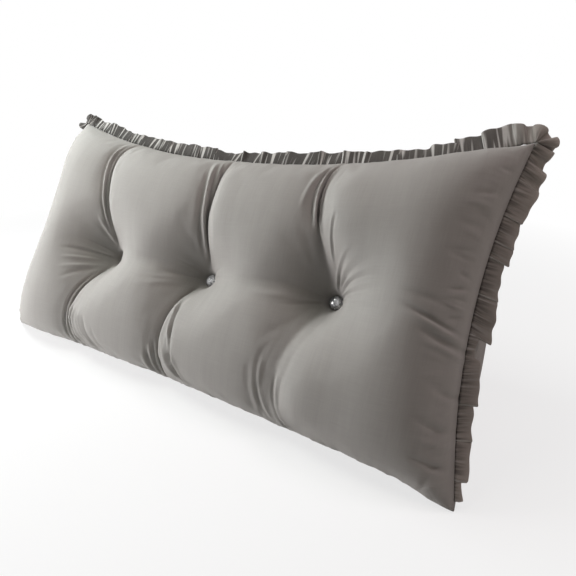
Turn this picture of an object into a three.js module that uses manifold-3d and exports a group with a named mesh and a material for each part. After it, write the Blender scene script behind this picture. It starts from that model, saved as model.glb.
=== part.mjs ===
// A tufted wedge reading cushion, in millimetres: X runs along its length, the front faces -Y, +Z is up.
// It stands on its flat base, and the origin is on the floor at the middle of that base.
import * as THREE from 'three';
import { mergeVertices } from 'three/addons/utils/BufferGeometryUtils.js';
import Module from 'manifold-3d';

const wasm = await Module();
wasm.setup();

// Cover: the front panel from corner to corner, and the wedge behind it
const PANEL_WIDTH = 990;
const PANEL_HEIGHT = 510;
const FRONT_LEAN = THREE.MathUtils.degToRad(34);
const BASE_DEPTH = 280;
const SEAM_LIFT = 9;

// How far filling draws each seam in at its middle, from the line between its corners
const TOP_DIP = 70;
const SIDE_DIP = 28;
const BACK_SIDE_DIP = 16;
const FRONT_FOOT_DIP = 16;
const TOP_DIP_POWER = 2.2;

// How far each panel stands out from its seams, and how soon it rounds over from them
const FRONT_CROWN = 84;
const FRONT_ROUND = 130;
const FORWARD_REACH = 0.4;
const BACK_CROWN = 34;
const BACK_ROUND = 110;
const END_CROWN = 16;
const BASE_ROUND = 32;

// The corners at the front's foot, which no filling reaches: they lie low, and one pokes forward
const EAR_DROP = 0.8;
const EAR_REACH = 55;
const EARS = [
  { side: -1, forward: 2, spread: 0 },
  { side: 1, forward: 20, spread: 5 },
];

// Tufts: where each button pulls the panel in, as a level between foot and top seam, how far the button
// has slid aside, down and in from there, how much of the crown it pulls away in a round funnel, and the
// creases that run from it to those seams. A crease's depth is a share of the crown. It bends sideways,
// most at its middle or further out with a larger skew, it has drifted by its seam, and a soft one has a
// rounder bottom. Close to the button every crease is soft. A shallow valley joins the buttons along the
// length.
const TUFT_SPACING = PANEL_WIDTH / 4;
const FUNNEL_RADIUS = 118;
const FUNNEL_FLARE = 1.7;
const TUFT_BLEND = 0.3;
const CREASE_SHARPNESS = 3;
const BUTTON_SOFTNESS = 0.12;
const BUTTON_SOFT_REACH = 22;
const VALLEY_DEPTH = 0.17;
const VALLEY_REACH = 0.24;
const VALLEY_END = 110;
const TUFTS = [
  {
    name: 'left', x: -241, level: 0.43, aside: 9, down: 2, sunk: 9, pull: 0.7,
    top: { depth: 0.33, bend: -24, skew: 2.6, drift: -16, soft: 0 },
    foot: { depth: 0.34, bend: -32, skew: 1.6, drift: -7, soft: 0 },
  },
  {
    name: 'middle', x: 5, level: 0.45, aside: 5, down: 3, sunk: 0, pull: 0.7,
    top: { depth: 0.35, bend: 4, skew: 1, drift: -8, soft: 0 },
    foot: { depth: 0.32, bend: -28, skew: 1, drift: -11, soft: 0 },
  },
  {
    name: 'right', x: 261, level: 0.466, aside: 3.5, down: 3, sunk: 0, pull: 0.72,
    top: { depth: 0.3, bend: -21, skew: 1.4, drift: -33, soft: 0.02 },
    foot: { depth: 0.23, bend: -31, skew: 1.3, drift: -20, soft: 0.06 },
  },
];

// Buttons: faceted domes seated in the tufts, with facets at shares of their radius and height
const BUTTON_RADIUS = 11.7;
const BUTTON_HEIGHT = 8.5;
const BUTTON_SIDES = 14;
const BUTTON_FACETS = [
  { radius: 0, height: 0 },
  { radius: 0.9, height: 0 },
  { radius: 1, height: 0.3 },
  { radius: 0.78, height: 0.72 },
  { radius: 0.4, height: 1 },
  { radius: 0, height: 1 },
];
const BUTTON_SEAT = 1;
const SEAT_CLEARANCE = 0.3;

// Ruffle: a doubled strip gathered into the seam of the front panel's sides and top. It leans back
// between the front and end panels, and stands up straighter along the top. Each table lists its pleats
// in order and fills its seam: a pleat's width on the seam, how far it stands out, and the ruffle's own
// width at its start and end. The sides' run from the foot up, and the others from left to right.
const RUFFLE_WIDTH = 29;
const RUFFLE_THICKNESS = 2;
const RUFFLE_SIDE_TILT = THREE.MathUtils.degToRad(42);
const RUFFLE_TOP_TILT = THREE.MathUtils.degToRad(16);
const RUFFLE_GAP = 1.7;
const RUFFLE_FOOT = 12;
const RUFFLE_COLUMN = 4.6;
const RUFFLE_ROWS = 2;
const RUFFLE_MEASURE = 0.7;
const PLEAT_RISE = 0.8;
const PLEAT_LEAN = 0.5;
const PLEAT_ROOT = 0.2;
const SIDE_PLEATS = [
  { width: 20, depth: 2, from: 12, to: 10 },
  { width: 40, depth: 3, from: 19, to: 24 },
  { width: 45, depth: 3, from: 24, to: 23 },
  { width: 63, depth: 3, from: 31, to: 26 },
  { width: 36, depth: 2, from: 18, to: 16 },
  { width: 58, depth: 5, from: 37, to: 32 },
  { width: 56, depth: 3, from: 32, to: 26 },
  { width: 24, depth: 3, from: 34, to: 33 },
  { width: 40, depth: 3, from: 32, to: 32 },
  { width: 56, depth: 4, from: 33, to: 41 },
  { width: 31, depth: 5, from: 40, to: 37 },
  { width: 29, depth: 4, from: 31, to: 32 },
];
const LEFT_CORNER_PLEATS = [
  { width: 20, depth: 8, from: 32, to: 30 },
  { width: 22, depth: 6, from: 27, to: 30 },
];
const RIGHT_CORNER_PLEATS = [
  { width: 24, depth: 6, from: 31, to: 35 },
  { width: 18, depth: 6, from: 35, to: 32 },
];
const TOP_PLEATS = [
  { width: 18, depth: 4, from: 23, to: 26 },
  { width: 16, depth: 3, from: 26, to: 26 },
  { width: 22, depth: 3, from: 25, to: 24 },
  { width: 36, depth: 3, from: 24, to: 29 },
  { width: 36, depth: 3, from: 28, to: 29 },
  { width: 40, depth: 2, from: 29, to: 23 },
  { width: 35, depth: 3, from: 24, to: 26 },
  { width: 50, depth: 2, from: 26, to: 31 },
  { width: 45, depth: 3, from: 29, to: 27 },
  { width: 51, depth: 2, from: 28, to: 31 },
  { width: 33, depth: 3, from: 33, to: 29 },
  { width: 44, depth: 2, from: 29, to: 28 },
  { width: 38, depth: 3, from: 27, to: 22 },
  { width: 28, depth: 3, from: 22, to: 24 },
  { width: 16, depth: 3, from: 25, to: 27 },
  { width: 27, depth: 2, from: 27, to: 28 },
  { width: 21, depth: 3, from: 28, to: 29 },
  { width: 30, depth: 2, from: 28, to: 31 },
  { width: 40, depth: 2, from: 33, to: 30 },
  { width: 29, depth: 3, from: 32, to: 30 },
  { width: 16, depth: 3, from: 31, to: 32 },
  { width: 29, depth: 2, from: 32, to: 31 },
  { width: 36, depth: 3, from: 31, to: 29 },
  { width: 11, depth: 4, from: 29, to: 28 },
  { width: 48, depth: 2, from: 28, to: 23 },
  { width: 50, depth: 2, from: 25, to: 23 },
  { width: 40, depth: 3, from: 30, to: 22 },
  { width: 39, depth: 2, from: 34, to: 36 },
  { width: 41, depth: 3, from: 35, to: 46 },
  { width: 25, depth: 5, from: 45, to: 29 },
];

// Grid of the cushion's skin
const COLUMNS_PER_TUFT = 12;
const FRONT_ROWS = 24;
const BACK_ROWS = 8;
const BASE_ROWS = 6;
const END_RINGS = 4;
const GRID_CROWDING = 0.55;
const WELD_DISTANCE = 1e-3;

const clothMaterial = new THREE.MeshStandardMaterial({ color: 0xa09e9a, roughness: 0.85, metalness: 0 });
const ruffleMaterial = new THREE.MeshStandardMaterial({ color: 0x817d79, roughness: 0.88, metalness: 0 });
const crystalMaterial = new THREE.MeshStandardMaterial({ color: 0xd4d6d6, roughness: 0.12, metalness: 0.6 });

const { lerp, clamp, smoothstep } = THREE.MathUtils;
const HALF_WIDTH = PANEL_WIDTH / 2;
const STATIONS = TUFTS.length + 1;
const FRONT_FOOT_Y = -BASE_DEPTH / 2;
const BACK_FOOT_Y = BASE_DEPTH / 2;
const UP_SLOPE = new THREE.Vector3(0, Math.sin(FRONT_LEAN), Math.cos(FRONT_LEAN));
const OFF_SLOPE = new THREE.Vector3(0, -Math.cos(FRONT_LEAN), Math.sin(FRONT_LEAN));
const FORWARD = new THREE.Vector3(0, -1, 0);

// A panel's rise from its seam, which starts square to the panel and levels off at the radius.
function roundOver(distance, radius) {
  const left = 1 - clamp(distance / radius, 0, 1);
  return Math.sqrt(1 - left * left);
}

// Evenly spaced steps from 0 to 1, crowded towards both ends.
function crowded(step) {
  return lerp(step, (1 - Math.cos(Math.PI * step)) / 2, GRID_CROWDING);
}

// How far down the slope the top seam dips at u, from -1 at the left corner to 1 at the right.
function topDip(u) {
  return TOP_DIP * (1 - Math.abs(u) ** TOP_DIP_POWER);
}

// A point near a corner at the front's foot goes with the corner, down and forward.
function pulledToEar(point) {
  const { side, forward, spread } = EARS[point.x < 0 ? 0 : 1];
  const corner = new THREE.Vector3(side * HALF_WIDTH, FRONT_FOOT_Y, SEAM_LIFT);
  const pull = Math.exp(-point.distanceToSquared(corner) / EAR_REACH ** 2);
  point.x += side * spread * pull;
  point.y -= forward * pull;
  point.z -= EAR_DROP * Math.min(point.z, SEAM_LIFT) * pull;
  return point;
}

// A bow that is 1 at the middle of a seam and 0 at its ends, for t from 0 to 1.
function bow(t) {
  return 4 * t * (1 - t);
}

// Place on the front panel's seam plane: x along it, and q up its slope from the foot seam.
function onSlope(x, q) {
  return new THREE.Vector3(x, FRONT_FOOT_Y, SEAM_LIFT).addScaledVector(UP_SLOPE, q);
}

function panelX(u, v, dip = SIDE_DIP) {
  return u * (HALF_WIDTH - dip * bow(v));
}

function panelHeight(u) {
  return PANEL_HEIGHT - topDip(u);
}

// Stations count along the panel: 0 at the left side, a whole number at each tuft, and the last at
// the right side. Values given for the stations are joined by straight lines.
function atStation(station, values) {
  const before = Math.min(Math.floor(station), values.length - 2);
  return lerp(values[before], values[before + 1], station - before);
}

// Where a tuft's crease runs at w, which goes from -1 at the foot over 0 at the button to 1 at the top.
function creaseX({ x, top, foot }, w) {
  const { bend, skew, drift } = w > 0 ? top : foot;
  return x + bend * bow(Math.abs(w) ** skew) + drift * Math.abs(w);
}

// Share of the crown that the tufts leave at x, at a rise above the buttons' level.
function tuftShare(x, rise, w) {
  const valleyEnd = 1 - smoothstep(Math.abs(x), TUFT_SPACING, TUFT_SPACING + VALLEY_END);
  let share = 1 - VALLEY_DEPTH * valleyEnd * Math.exp(-((w / VALLEY_REACH) ** 2));
  const towardsTop = smoothstep(w, -TUFT_BLEND, TUFT_BLEND);
  for (const tuft of TUFTS) {
    const distance = Math.hypot(x - tuft.x, rise);
    const soft = lerp(tuft.foot.soft, tuft.top.soft, towardsTop)
      + BUTTON_SOFTNESS * Math.exp(-((distance / BUTTON_SOFT_REACH) ** 2));
    const away = clamp(Math.hypot((x - creaseX(tuft, w)) / (TUFT_SPACING / 2), soft), 0, 1);
    const arch = Math.sqrt(1 - (1 - away) ** CREASE_SHARPNESS);
    const funnel = 1 - Math.min(distance / FUNNEL_RADIUS, 1);
    const depth = lerp(tuft.foot.depth, tuft.top.depth, towardsTop);
    share -= depth * (1 - arch) + tuft.pull * funnel ** FUNNEL_FLARE;
  }
  return share;
}

// A place on the front, at a station and at w from the foot over the buttons to the top.
function frontPoint(station, w) {
  const levels = TUFTS.map((tuft) => tuft.level);
  const level = atStation(station, [levels[0], ...levels, levels[levels.length - 1]]);
  const v = w > 0 ? lerp(level, 1, w) : level * (1 + w);
  const sideX = panelX(1, v);
  const x = atStation(station, [-sideX, ...TUFTS.map((tuft) => creaseX(tuft, w)), sideX]);
  const u = x / sideX;
  const height = panelHeight(u);
  const fromSide = HALF_WIDTH * (1 - Math.abs(u));
  const fromEnd = height * Math.min(v, 1 - v);
  const crown = FRONT_CROWN * roundOver(fromSide, FRONT_ROUND) * roundOver(fromEnd, FRONT_ROUND)
    * tuftShare(x, height * (v - level), w);
  const out = FORWARD.clone().lerp(OFF_SLOPE, smoothstep(v, 0, FORWARD_REACH)).normalize();
  const point = onSlope(x, height * v).addScaledVector(out, crown);
  point.y += FRONT_FOOT_DIP * bow((u + 1) / 2) * (1 - v);
  return point;
}

function backPoint(station, t) {
  const top = frontPoint(station, 1);
  const foot = new THREE.Vector3(frontPoint(station, -1).x, BACK_FOOT_Y, SEAM_LIFT);
  const height = top.distanceTo(foot);
  const point = top.lerp(foot, t);
  const fromSide = HALF_WIDTH - Math.abs(point.x);
  point.x *= 1 - BACK_SIDE_DIP * bow(t) / HALF_WIDTH;
  const fromEnd = height * Math.min(t, 1 - t);
  point.y += BACK_CROWN * roundOver(fromSide, BACK_ROUND) * roundOver(fromEnd, BACK_ROUND);
  return point;
}

function basePoint(station, t) {
  const front = frontPoint(station, -1);
  const back = new THREE.Vector3(front.x, BACK_FOOT_Y, SEAM_LIFT);
  const inset = Math.min(back.distanceTo(front) * Math.min(t, 1 - t), HALF_WIDTH - Math.abs(front.x));
  const point = back.lerp(front, t);
  point.z = SEAM_LIFT * (1 - roundOver(inset, BASE_ROUND));
  return point;
}

// One turn round the wedge's section: up the front, down the back and forward along the base.
function sectionPoint(station, index) {
  const half = FRONT_ROWS / 2;
  if (index < half) return frontPoint(station, crowded(index / half) - 1);
  if (index < FRONT_ROWS) return frontPoint(station, crowded(index / half - 1));
  if (index < FRONT_ROWS + BACK_ROWS) return backPoint(station, crowded((index - FRONT_ROWS) / BACK_ROWS));
  return basePoint(station, crowded((index - FRONT_ROWS - BACK_ROWS) / BASE_ROWS));
}

// One ring of an end panel, from 1 at its seam to 0 at its middle. The bows of the front and back
// seams fade out over the panel's triangle, and filling domes it: each share is 1 at its highest.
function endPoint(side, index, ring) {
  const station = side < 0 ? 0 : STATIONS;
  const foot = sectionPoint(station, 0);
  const top = sectionPoint(station, FRONT_ROWS);
  const heel = sectionPoint(station, FRONT_ROWS + BACK_ROWS);
  const middle = foot.clone().add(top).add(heel).divideScalar(3);
  const point = middle.lerp(sectionPoint(station, index), ring);
  const shares = THREE.Triangle.getBarycoord(point, foot, top, heel, new THREE.Vector3());
  const frontBow = 4 * shares.x * shares.y;
  const backBow = 4 * shares.y * shares.z;
  const dome = 27 * shares.x * shares.y * shares.z;
  point.x = side * (HALF_WIDTH - SIDE_DIP * frontBow - BACK_SIDE_DIP * backBow + END_CROWN * dome);
  return point;
}

// A geometry class's own vertices are moved to the shape, then merged so that the skin is closed.
function closedSkin(geometry) {
  geometry.deleteAttribute('normal');
  geometry.deleteAttribute('uv');
  const merged = mergeVertices(geometry, WELD_DISTANCE);
  merged.computeVertexNormals();
  return merged;
}

// A sphere's grid is wrapped round the wedge: its poles are the middles of the two end panels.
function cushionSkin() {
  const around = FRONT_ROWS + BACK_ROWS + BASE_ROWS;
  const columns = STATIONS * COLUMNS_PER_TUFT;
  const rows = columns + 2 * END_RINGS;
  const geometry = new THREE.SphereGeometry(1, around, rows);
  const position = geometry.getAttribute('position');
  for (let i = 0; i < position.count; i++) {
    const row = Math.floor(i / (around + 1));
    const index = (i % (around + 1)) % around;
    let point;
    if (row < END_RINGS) {
      point = endPoint(-1, index, row / END_RINGS);
    } else if (row > rows - END_RINGS) {
      point = endPoint(1, index, (rows - row) / END_RINGS);
    } else {
      const column = row - END_RINGS;
      const before = Math.min(Math.floor(column / COLUMNS_PER_TUFT), STATIONS - 1);
      point = sectionPoint(before + crowded(column / COLUMNS_PER_TUFT - before), index);
    }
    pulledToEar(point);
    position.setXYZ(i, point.x, point.y, point.z);
  }
  return closedSkin(geometry);
}

function solidOf(geometry) {
  return new wasm.Manifold(new wasm.Mesh({
    numProp: 3,
    vertProperties: Float32Array.from(geometry.getAttribute('position').array),
    triVerts: Uint32Array.from(geometry.index.array),
  }));
}

function geometryOf(solid) {
  const mesh = solid.getMesh();
  const geometry = new THREE.BufferGeometry();
  geometry.setAttribute('position', new THREE.BufferAttribute(mesh.vertProperties, 3));
  geometry.setIndex(new THREE.BufferAttribute(mesh.triVerts, 1));
  geometry.computeVertexNormals();
  return geometry;
}

// The button's place: over the seam plane at the tuft's level, facing off the slope.
function placeOnTuft(geometry, tuft, height) {
  const turn = new THREE.Quaternion().setFromUnitVectors(new THREE.Vector3(0, 1, 0), OFF_SLOPE);
  const u = tuft.x / panelX(1, tuft.level);
  const spot = onSlope(tuft.x + tuft.aside, panelHeight(u) * tuft.level - tuft.down)
    .addScaledVector(OFF_SLOPE, height - tuft.sunk);
  spot.y += FRONT_FOOT_DIP * bow((u + 1) / 2) * (1 - tuft.level);
  return geometry.applyQuaternion(turn).translate(spot.x, spot.y, spot.z);
}

function buttonGeometry() {
  const profile = BUTTON_FACETS.map(({ radius, height }) =>
    new THREE.Vector2(BUTTON_RADIUS * radius, BUTTON_HEIGHT * height));
  return closedSkin(new THREE.LatheGeometry(profile, BUTTON_SIDES));
}

// The round pocket that a button is pulled into, open to the front.
function seatGeometry(tuft) {
  const depth = 2 * FRONT_CROWN;
  const pocket = new THREE.CylinderGeometry(
    BUTTON_RADIUS + SEAT_CLEARANCE, BUTTON_RADIUS + SEAT_CLEARANCE, depth, 2 * BUTTON_SIDES);
  pocket.translate(0, depth / 2 - SEAT_CLEARANCE, 0);
  return placeOnTuft(closedSkin(pocket), tuft, BUTTON_SEAT);
}

// The seam that the ruffle is sewn into, up one side, over the top and down the other, as pieces
// with a length and their own pleats: each gives the seam's place at t from 0 to 1.
function seamPieces() {
  const start = RUFFLE_FOOT / PANEL_HEIGHT;
  const side = (sign, t) => {
    const v = lerp(start, 1, t);
    return new THREE.Vector2(panelX(sign, v), PANEL_HEIGHT * v);
  };
  const top = (t) => {
    const u = 2 * t - 1;
    return new THREE.Vector2(u * HALF_WIDTH, panelHeight(u));
  };
  const sides = { length: PANEL_HEIGHT - RUFFLE_FOOT, tilt: RUFFLE_SIDE_TILT };
  return [
    { ...sides, pleats: SIDE_PLEATS, corner: LEFT_CORNER_PLEATS, at: (t) => side(-1, t) },
    { length: PANEL_WIDTH, tilt: RUFFLE_TOP_TILT, pleats: TOP_PLEATS, corner: RIGHT_CORNER_PLEATS, at: top },
    { ...sides, pleats: mirrored(SIDE_PLEATS), at: (t) => side(1, 1 - t) },
  ];
}

// The same pleats met from their other end.
function mirrored(pleats) {
  return pleats.map((pleat) => ({ ...pleat, from: pleat.to, to: pleat.from })).reverse();
}

// Direction out of the panel, in its plane, at t on a seam piece. The seam is followed clockwise.
function seamOutward(piece, t) {
  const step = 1e-3;
  const ahead = piece.at(Math.min(t + step, 1));
  const behind = piece.at(Math.max(t - step, 0));
  const along = ahead.sub(behind).normalize();
  return new THREE.Vector2(-along.y, along.x);
}

// The pleats' wave and the ruffle's width at t, from 0 to 1 over a table of pleats. The wave leans, so
// that one side of each pleat is broad and the other is short.
function pleatAt(pleats, t) {
  let left = t * pleats.reduce((sum, pleat) => sum + pleat.width, 0);
  let n = 0;
  while (n < pleats.length - 1 && left > pleats[n].width) left -= pleats[n++].width;
  const share = left / pleats[n].width;
  const turn = 2 * Math.PI * share;
  const depth = lerp(pleats[n].depth, pleats[(n + 1) % pleats.length].depth, share);
  return {
    wave: depth * Math.sin(turn + PLEAT_LEAN * Math.sin(turn)),
    width: lerp(pleats[n].from, pleats[n].to, share),
  };
}

// The ruffle's whole sewn line: root places, outward directions, tilt, wave and width, with loops that
// fan out round each top corner.
function ruffleLine() {
  const pieces = seamPieces();
  const line = [];
  pieces.forEach((piece, n) => {
    const steps = Math.round(piece.length / RUFFLE_COLUMN);
    for (let i = 0; i <= steps; i++) {
      const t = i / steps;
      const outward = seamOutward(piece, t);
      line.push({ root: piece.at(t), outward, tilt: piece.tilt, ...pleatAt(piece.pleats, t) });
    }
    if (n === pieces.length - 1) return;
    const next = pieces[n + 1];
    const start = seamOutward(piece, 1).angle();
    const turn = THREE.MathUtils.euclideanModulo(start - seamOutward(next, 0).angle(), 2 * Math.PI);
    const fan = Math.round(turn * RUFFLE_WIDTH * RUFFLE_MEASURE / RUFFLE_COLUMN);
    for (let i = 1; i < fan; i++) {
      const t = i / fan;
      const angle = start - turn * t;
      const outward = new THREE.Vector2(Math.cos(angle), Math.sin(angle));
      const tilt = lerp(piece.tilt, next.tilt, t);
      line.push({ root: piece.at(1), outward, tilt, ...pleatAt(piece.corner, t) });
    }
  });
  return line;
}

function ruffleGeometry() {
  const line = ruffleLine();
  const columns = line.length - 1;
  const sewn = (i) => line[i].root.clone().addScaledVector(line[i].outward, RUFFLE_GAP);

  const middlePoint = (i, across) => {
    const { outward, tilt, wave, width } = line[i];
    const level = new THREE.Vector3(outward.x, 0, 0).addScaledVector(UP_SLOPE, outward.y);
    const out = level.clone().multiplyScalar(Math.cos(tilt)).addScaledVector(OFF_SLOPE, -Math.sin(tilt));
    const lift = OFF_SLOPE.clone().multiplyScalar(Math.cos(tilt)).addScaledVector(level, Math.sin(tilt));
    const root = sewn(i);
    const point = onSlope(root.x, root.y).addScaledVector(out, width * across)
      .addScaledVector(lift, wave * across ** PLEAT_RISE);
    return pulledToEar(point);
  };
  const surfaceNormal = (i, across) => {
    const turned = Math.max(across, PLEAT_ROOT);
    const along = middlePoint(Math.min(i + 1, columns), turned).sub(middlePoint(Math.max(i - 1, 0), turned));
    const outward = middlePoint(i, 1).sub(middlePoint(i, 0));
    return outward.cross(along).normalize();
  };

  const geometry = new THREE.BoxGeometry(1, 1, 1, columns, RUFFLE_ROWS, 1);
  const position = geometry.getAttribute('position');
  for (let n = 0; n < position.count; n++) {
    const i = Math.round((position.getX(n) + 0.5) * columns);
    const across = position.getY(n) + 0.5;
    const point = middlePoint(i, across)
      .addScaledVector(surfaceNormal(i, across), -position.getZ(n) * RUFFLE_THICKNESS);
    position.setXYZ(n, point.x, point.y, point.z);
  }
  return closedSkin(geometry);
}

function addPiece(group, name, geometry, material) {
  const mesh = new THREE.Mesh(geometry, material);
  mesh.name = name;
  group.add(mesh);
}

const pillow = new THREE.Group();

let filled = solidOf(cushionSkin());
for (const tuft of TUFTS) filled = filled.subtract(solidOf(seatGeometry(tuft)));
addPiece(pillow, 'cushion', geometryOf(filled), clothMaterial);
addPiece(pillow, 'ruffle', ruffleGeometry(), ruffleMaterial);
for (const tuft of TUFTS) {
  addPiece(pillow, `button_${tuft.name}`, placeOnTuft(buttonGeometry(), tuft, BUTTON_SEAT), crystalMaterial);
}

export default pillow;
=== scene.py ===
import itertools
import math

import bmesh
import bpy
import numpy as np
from mathutils import Matrix, Vector


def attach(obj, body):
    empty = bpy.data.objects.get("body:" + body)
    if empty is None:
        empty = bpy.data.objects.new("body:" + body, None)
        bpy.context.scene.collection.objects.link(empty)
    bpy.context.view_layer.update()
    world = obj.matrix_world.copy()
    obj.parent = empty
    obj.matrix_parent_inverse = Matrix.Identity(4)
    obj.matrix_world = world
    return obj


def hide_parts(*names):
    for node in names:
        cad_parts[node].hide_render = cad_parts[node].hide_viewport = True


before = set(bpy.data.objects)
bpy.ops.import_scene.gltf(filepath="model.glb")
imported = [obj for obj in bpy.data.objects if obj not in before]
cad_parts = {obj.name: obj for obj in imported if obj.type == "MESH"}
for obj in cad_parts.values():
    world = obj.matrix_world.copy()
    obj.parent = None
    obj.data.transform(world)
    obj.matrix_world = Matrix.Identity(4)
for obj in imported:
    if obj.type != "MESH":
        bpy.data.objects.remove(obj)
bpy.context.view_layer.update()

# Cover: the front panel from corner to corner, and the wedge behind it
PANEL_WIDTH = 0.990
PANEL_HEIGHT = 0.510
FRONT_LEAN = math.radians(34)
BASE_DEPTH = 0.280
SEAM_LIFT = 0.009
HALF_WIDTH = PANEL_WIDTH / 2

# How far filling draws each seam in at its middle, from the line between its corners
TOP_DIP = 0.070
SIDE_DIP = 0.028
BACK_SIDE_DIP = 0.016
FRONT_FOOT_DIP = 0.016
TOP_DIP_POWER = 2.2

# How far each panel stands out from its seams, and how soon it rounds over from them
FRONT_CROWN = 0.084
FRONT_ROUND = 0.130
FORWARD_REACH = 0.4
BACK_CROWN = 0.034
BACK_ROUND = 0.110
END_CROWN = 0.016
BASE_ROUND = 0.032

# The corners at the front's foot, which no filling reaches: they lie low, and one pokes forward
EAR_DROP = 0.8
EAR_REACH = 0.055
EARS = [
    {"side": -1, "forward": 0.002, "spread": 0.0},
    {"side": 1, "forward": 0.020, "spread": 0.005},
]

# Tufts: where each button pulls the panel in, as a level between foot and top seam, how much of the crown
# it pulls away, how far the button has slid aside, down and in from there, and the creases that run from
# it to those seams. A crease's depth is a share of the crown. It bends sideways, most at its middle or
# further out with a larger skew, it has drifted by its seam, and a soft one has a rounder bottom. Close to
# the button every crease is soft.
TUFT_SPACING = PANEL_WIDTH / 4
FUNNEL_RADIUS = 0.118
FUNNEL_FLARE = 1.7
TUFT_BLEND = 0.3
CREASE_SHARPNESS = 3.0
BUTTON_SOFTNESS = 0.12
BUTTON_SOFT_REACH = 0.022
VALLEY_DEPTH = 0.17
VALLEY_REACH = 0.24
VALLEY_END = 0.110
TUFTS = [
    {
        "name": "left", "x": -0.241, "level": 0.43, "pull": 0.70,
        "aside": 0.009, "down": 0.002, "sunk": 0.009,
        "top": {"depth": 0.33, "bend": -0.024, "skew": 2.6, "drift": -0.016, "soft": 0.0},
        "foot": {"depth": 0.34, "bend": -0.032, "skew": 1.6, "drift": -0.007, "soft": 0.0},
    },
    {
        "name": "middle", "x": 0.005, "level": 0.45, "pull": 0.70,
        "aside": 0.005, "down": 0.003, "sunk": 0.0,
        "top": {"depth": 0.35, "bend": 0.004, "skew": 1.0, "drift": -0.008, "soft": 0.0},
        "foot": {"depth": 0.32, "bend": -0.028, "skew": 1.0, "drift": -0.011, "soft": 0.0},
    },
    {
        "name": "right", "x": 0.261, "level": 0.466, "pull": 0.72,
        "aside": 0.0035, "down": 0.003, "sunk": 0.0,
        "top": {"depth": 0.30, "bend": -0.021, "skew": 1.4, "drift": -0.033, "soft": 0.02},
        "foot": {"depth": 0.23, "bend": -0.031, "skew": 1.3, "drift": -0.020, "soft": 0.06},
    },
]
MEAN_LEVEL = 0.45
STATIONS = len(TUFTS) + 1
FRONT_FOOT_Y = -BASE_DEPTH / 2
BACK_FOOT_Y = BASE_DEPTH / 2
FOOT_SEAM = np.array([0.0, FRONT_FOOT_Y, SEAM_LIFT])
UP_SLOPE = np.array([0.0, math.sin(FRONT_LEAN), math.cos(FRONT_LEAN)])
OFF_SLOPE = np.array([0.0, -math.cos(FRONT_LEAN), math.sin(FRONT_LEAN)])
FORWARD = np.array([0.0, -1.0, 0.0])
ALONG = np.array([1.0, 0.0, 0.0])

# Grid of the cover before its one subdivision. Its rows around are a multiple of four, because the
# sphere that it is wrapped from starts each ring at a quarter turn.
COLUMNS_PER_TUFT = 44
FRONT_ROWS = 104
BACK_ROWS = 20
BASE_ROWS = 8
END_RINGS = 5
GRID_CROWDING = 0.55
SEAM_SHARPNESS = 0.75
AROUND = FRONT_ROWS + BACK_ROWS + BASE_ROWS
COLUMNS = STATIONS * COLUMNS_PER_TUFT
RINGS = COLUMNS + 2 * END_RINGS
LONG_SEAMS = (0, FRONT_ROWS, FRONT_ROWS + BACK_ROWS)
END_SEAMS = (END_RINGS, RINGS - END_RINGS)

# Folds in the front panel, in millimetres. Each runs on a soft curve from one place by another to a
# third: x, and w from -1 at the foot seam over 0 at the buttons to 1 at the top seam. A depth above 0
# is a ridge and below 0 a trough, and a lean above 0 makes its right side the gentle one.
MM = 0.001
FOLD = ("x1", "w1", "x2", "w2", "x3", "w3", "width", "depth", "lean")

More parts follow.
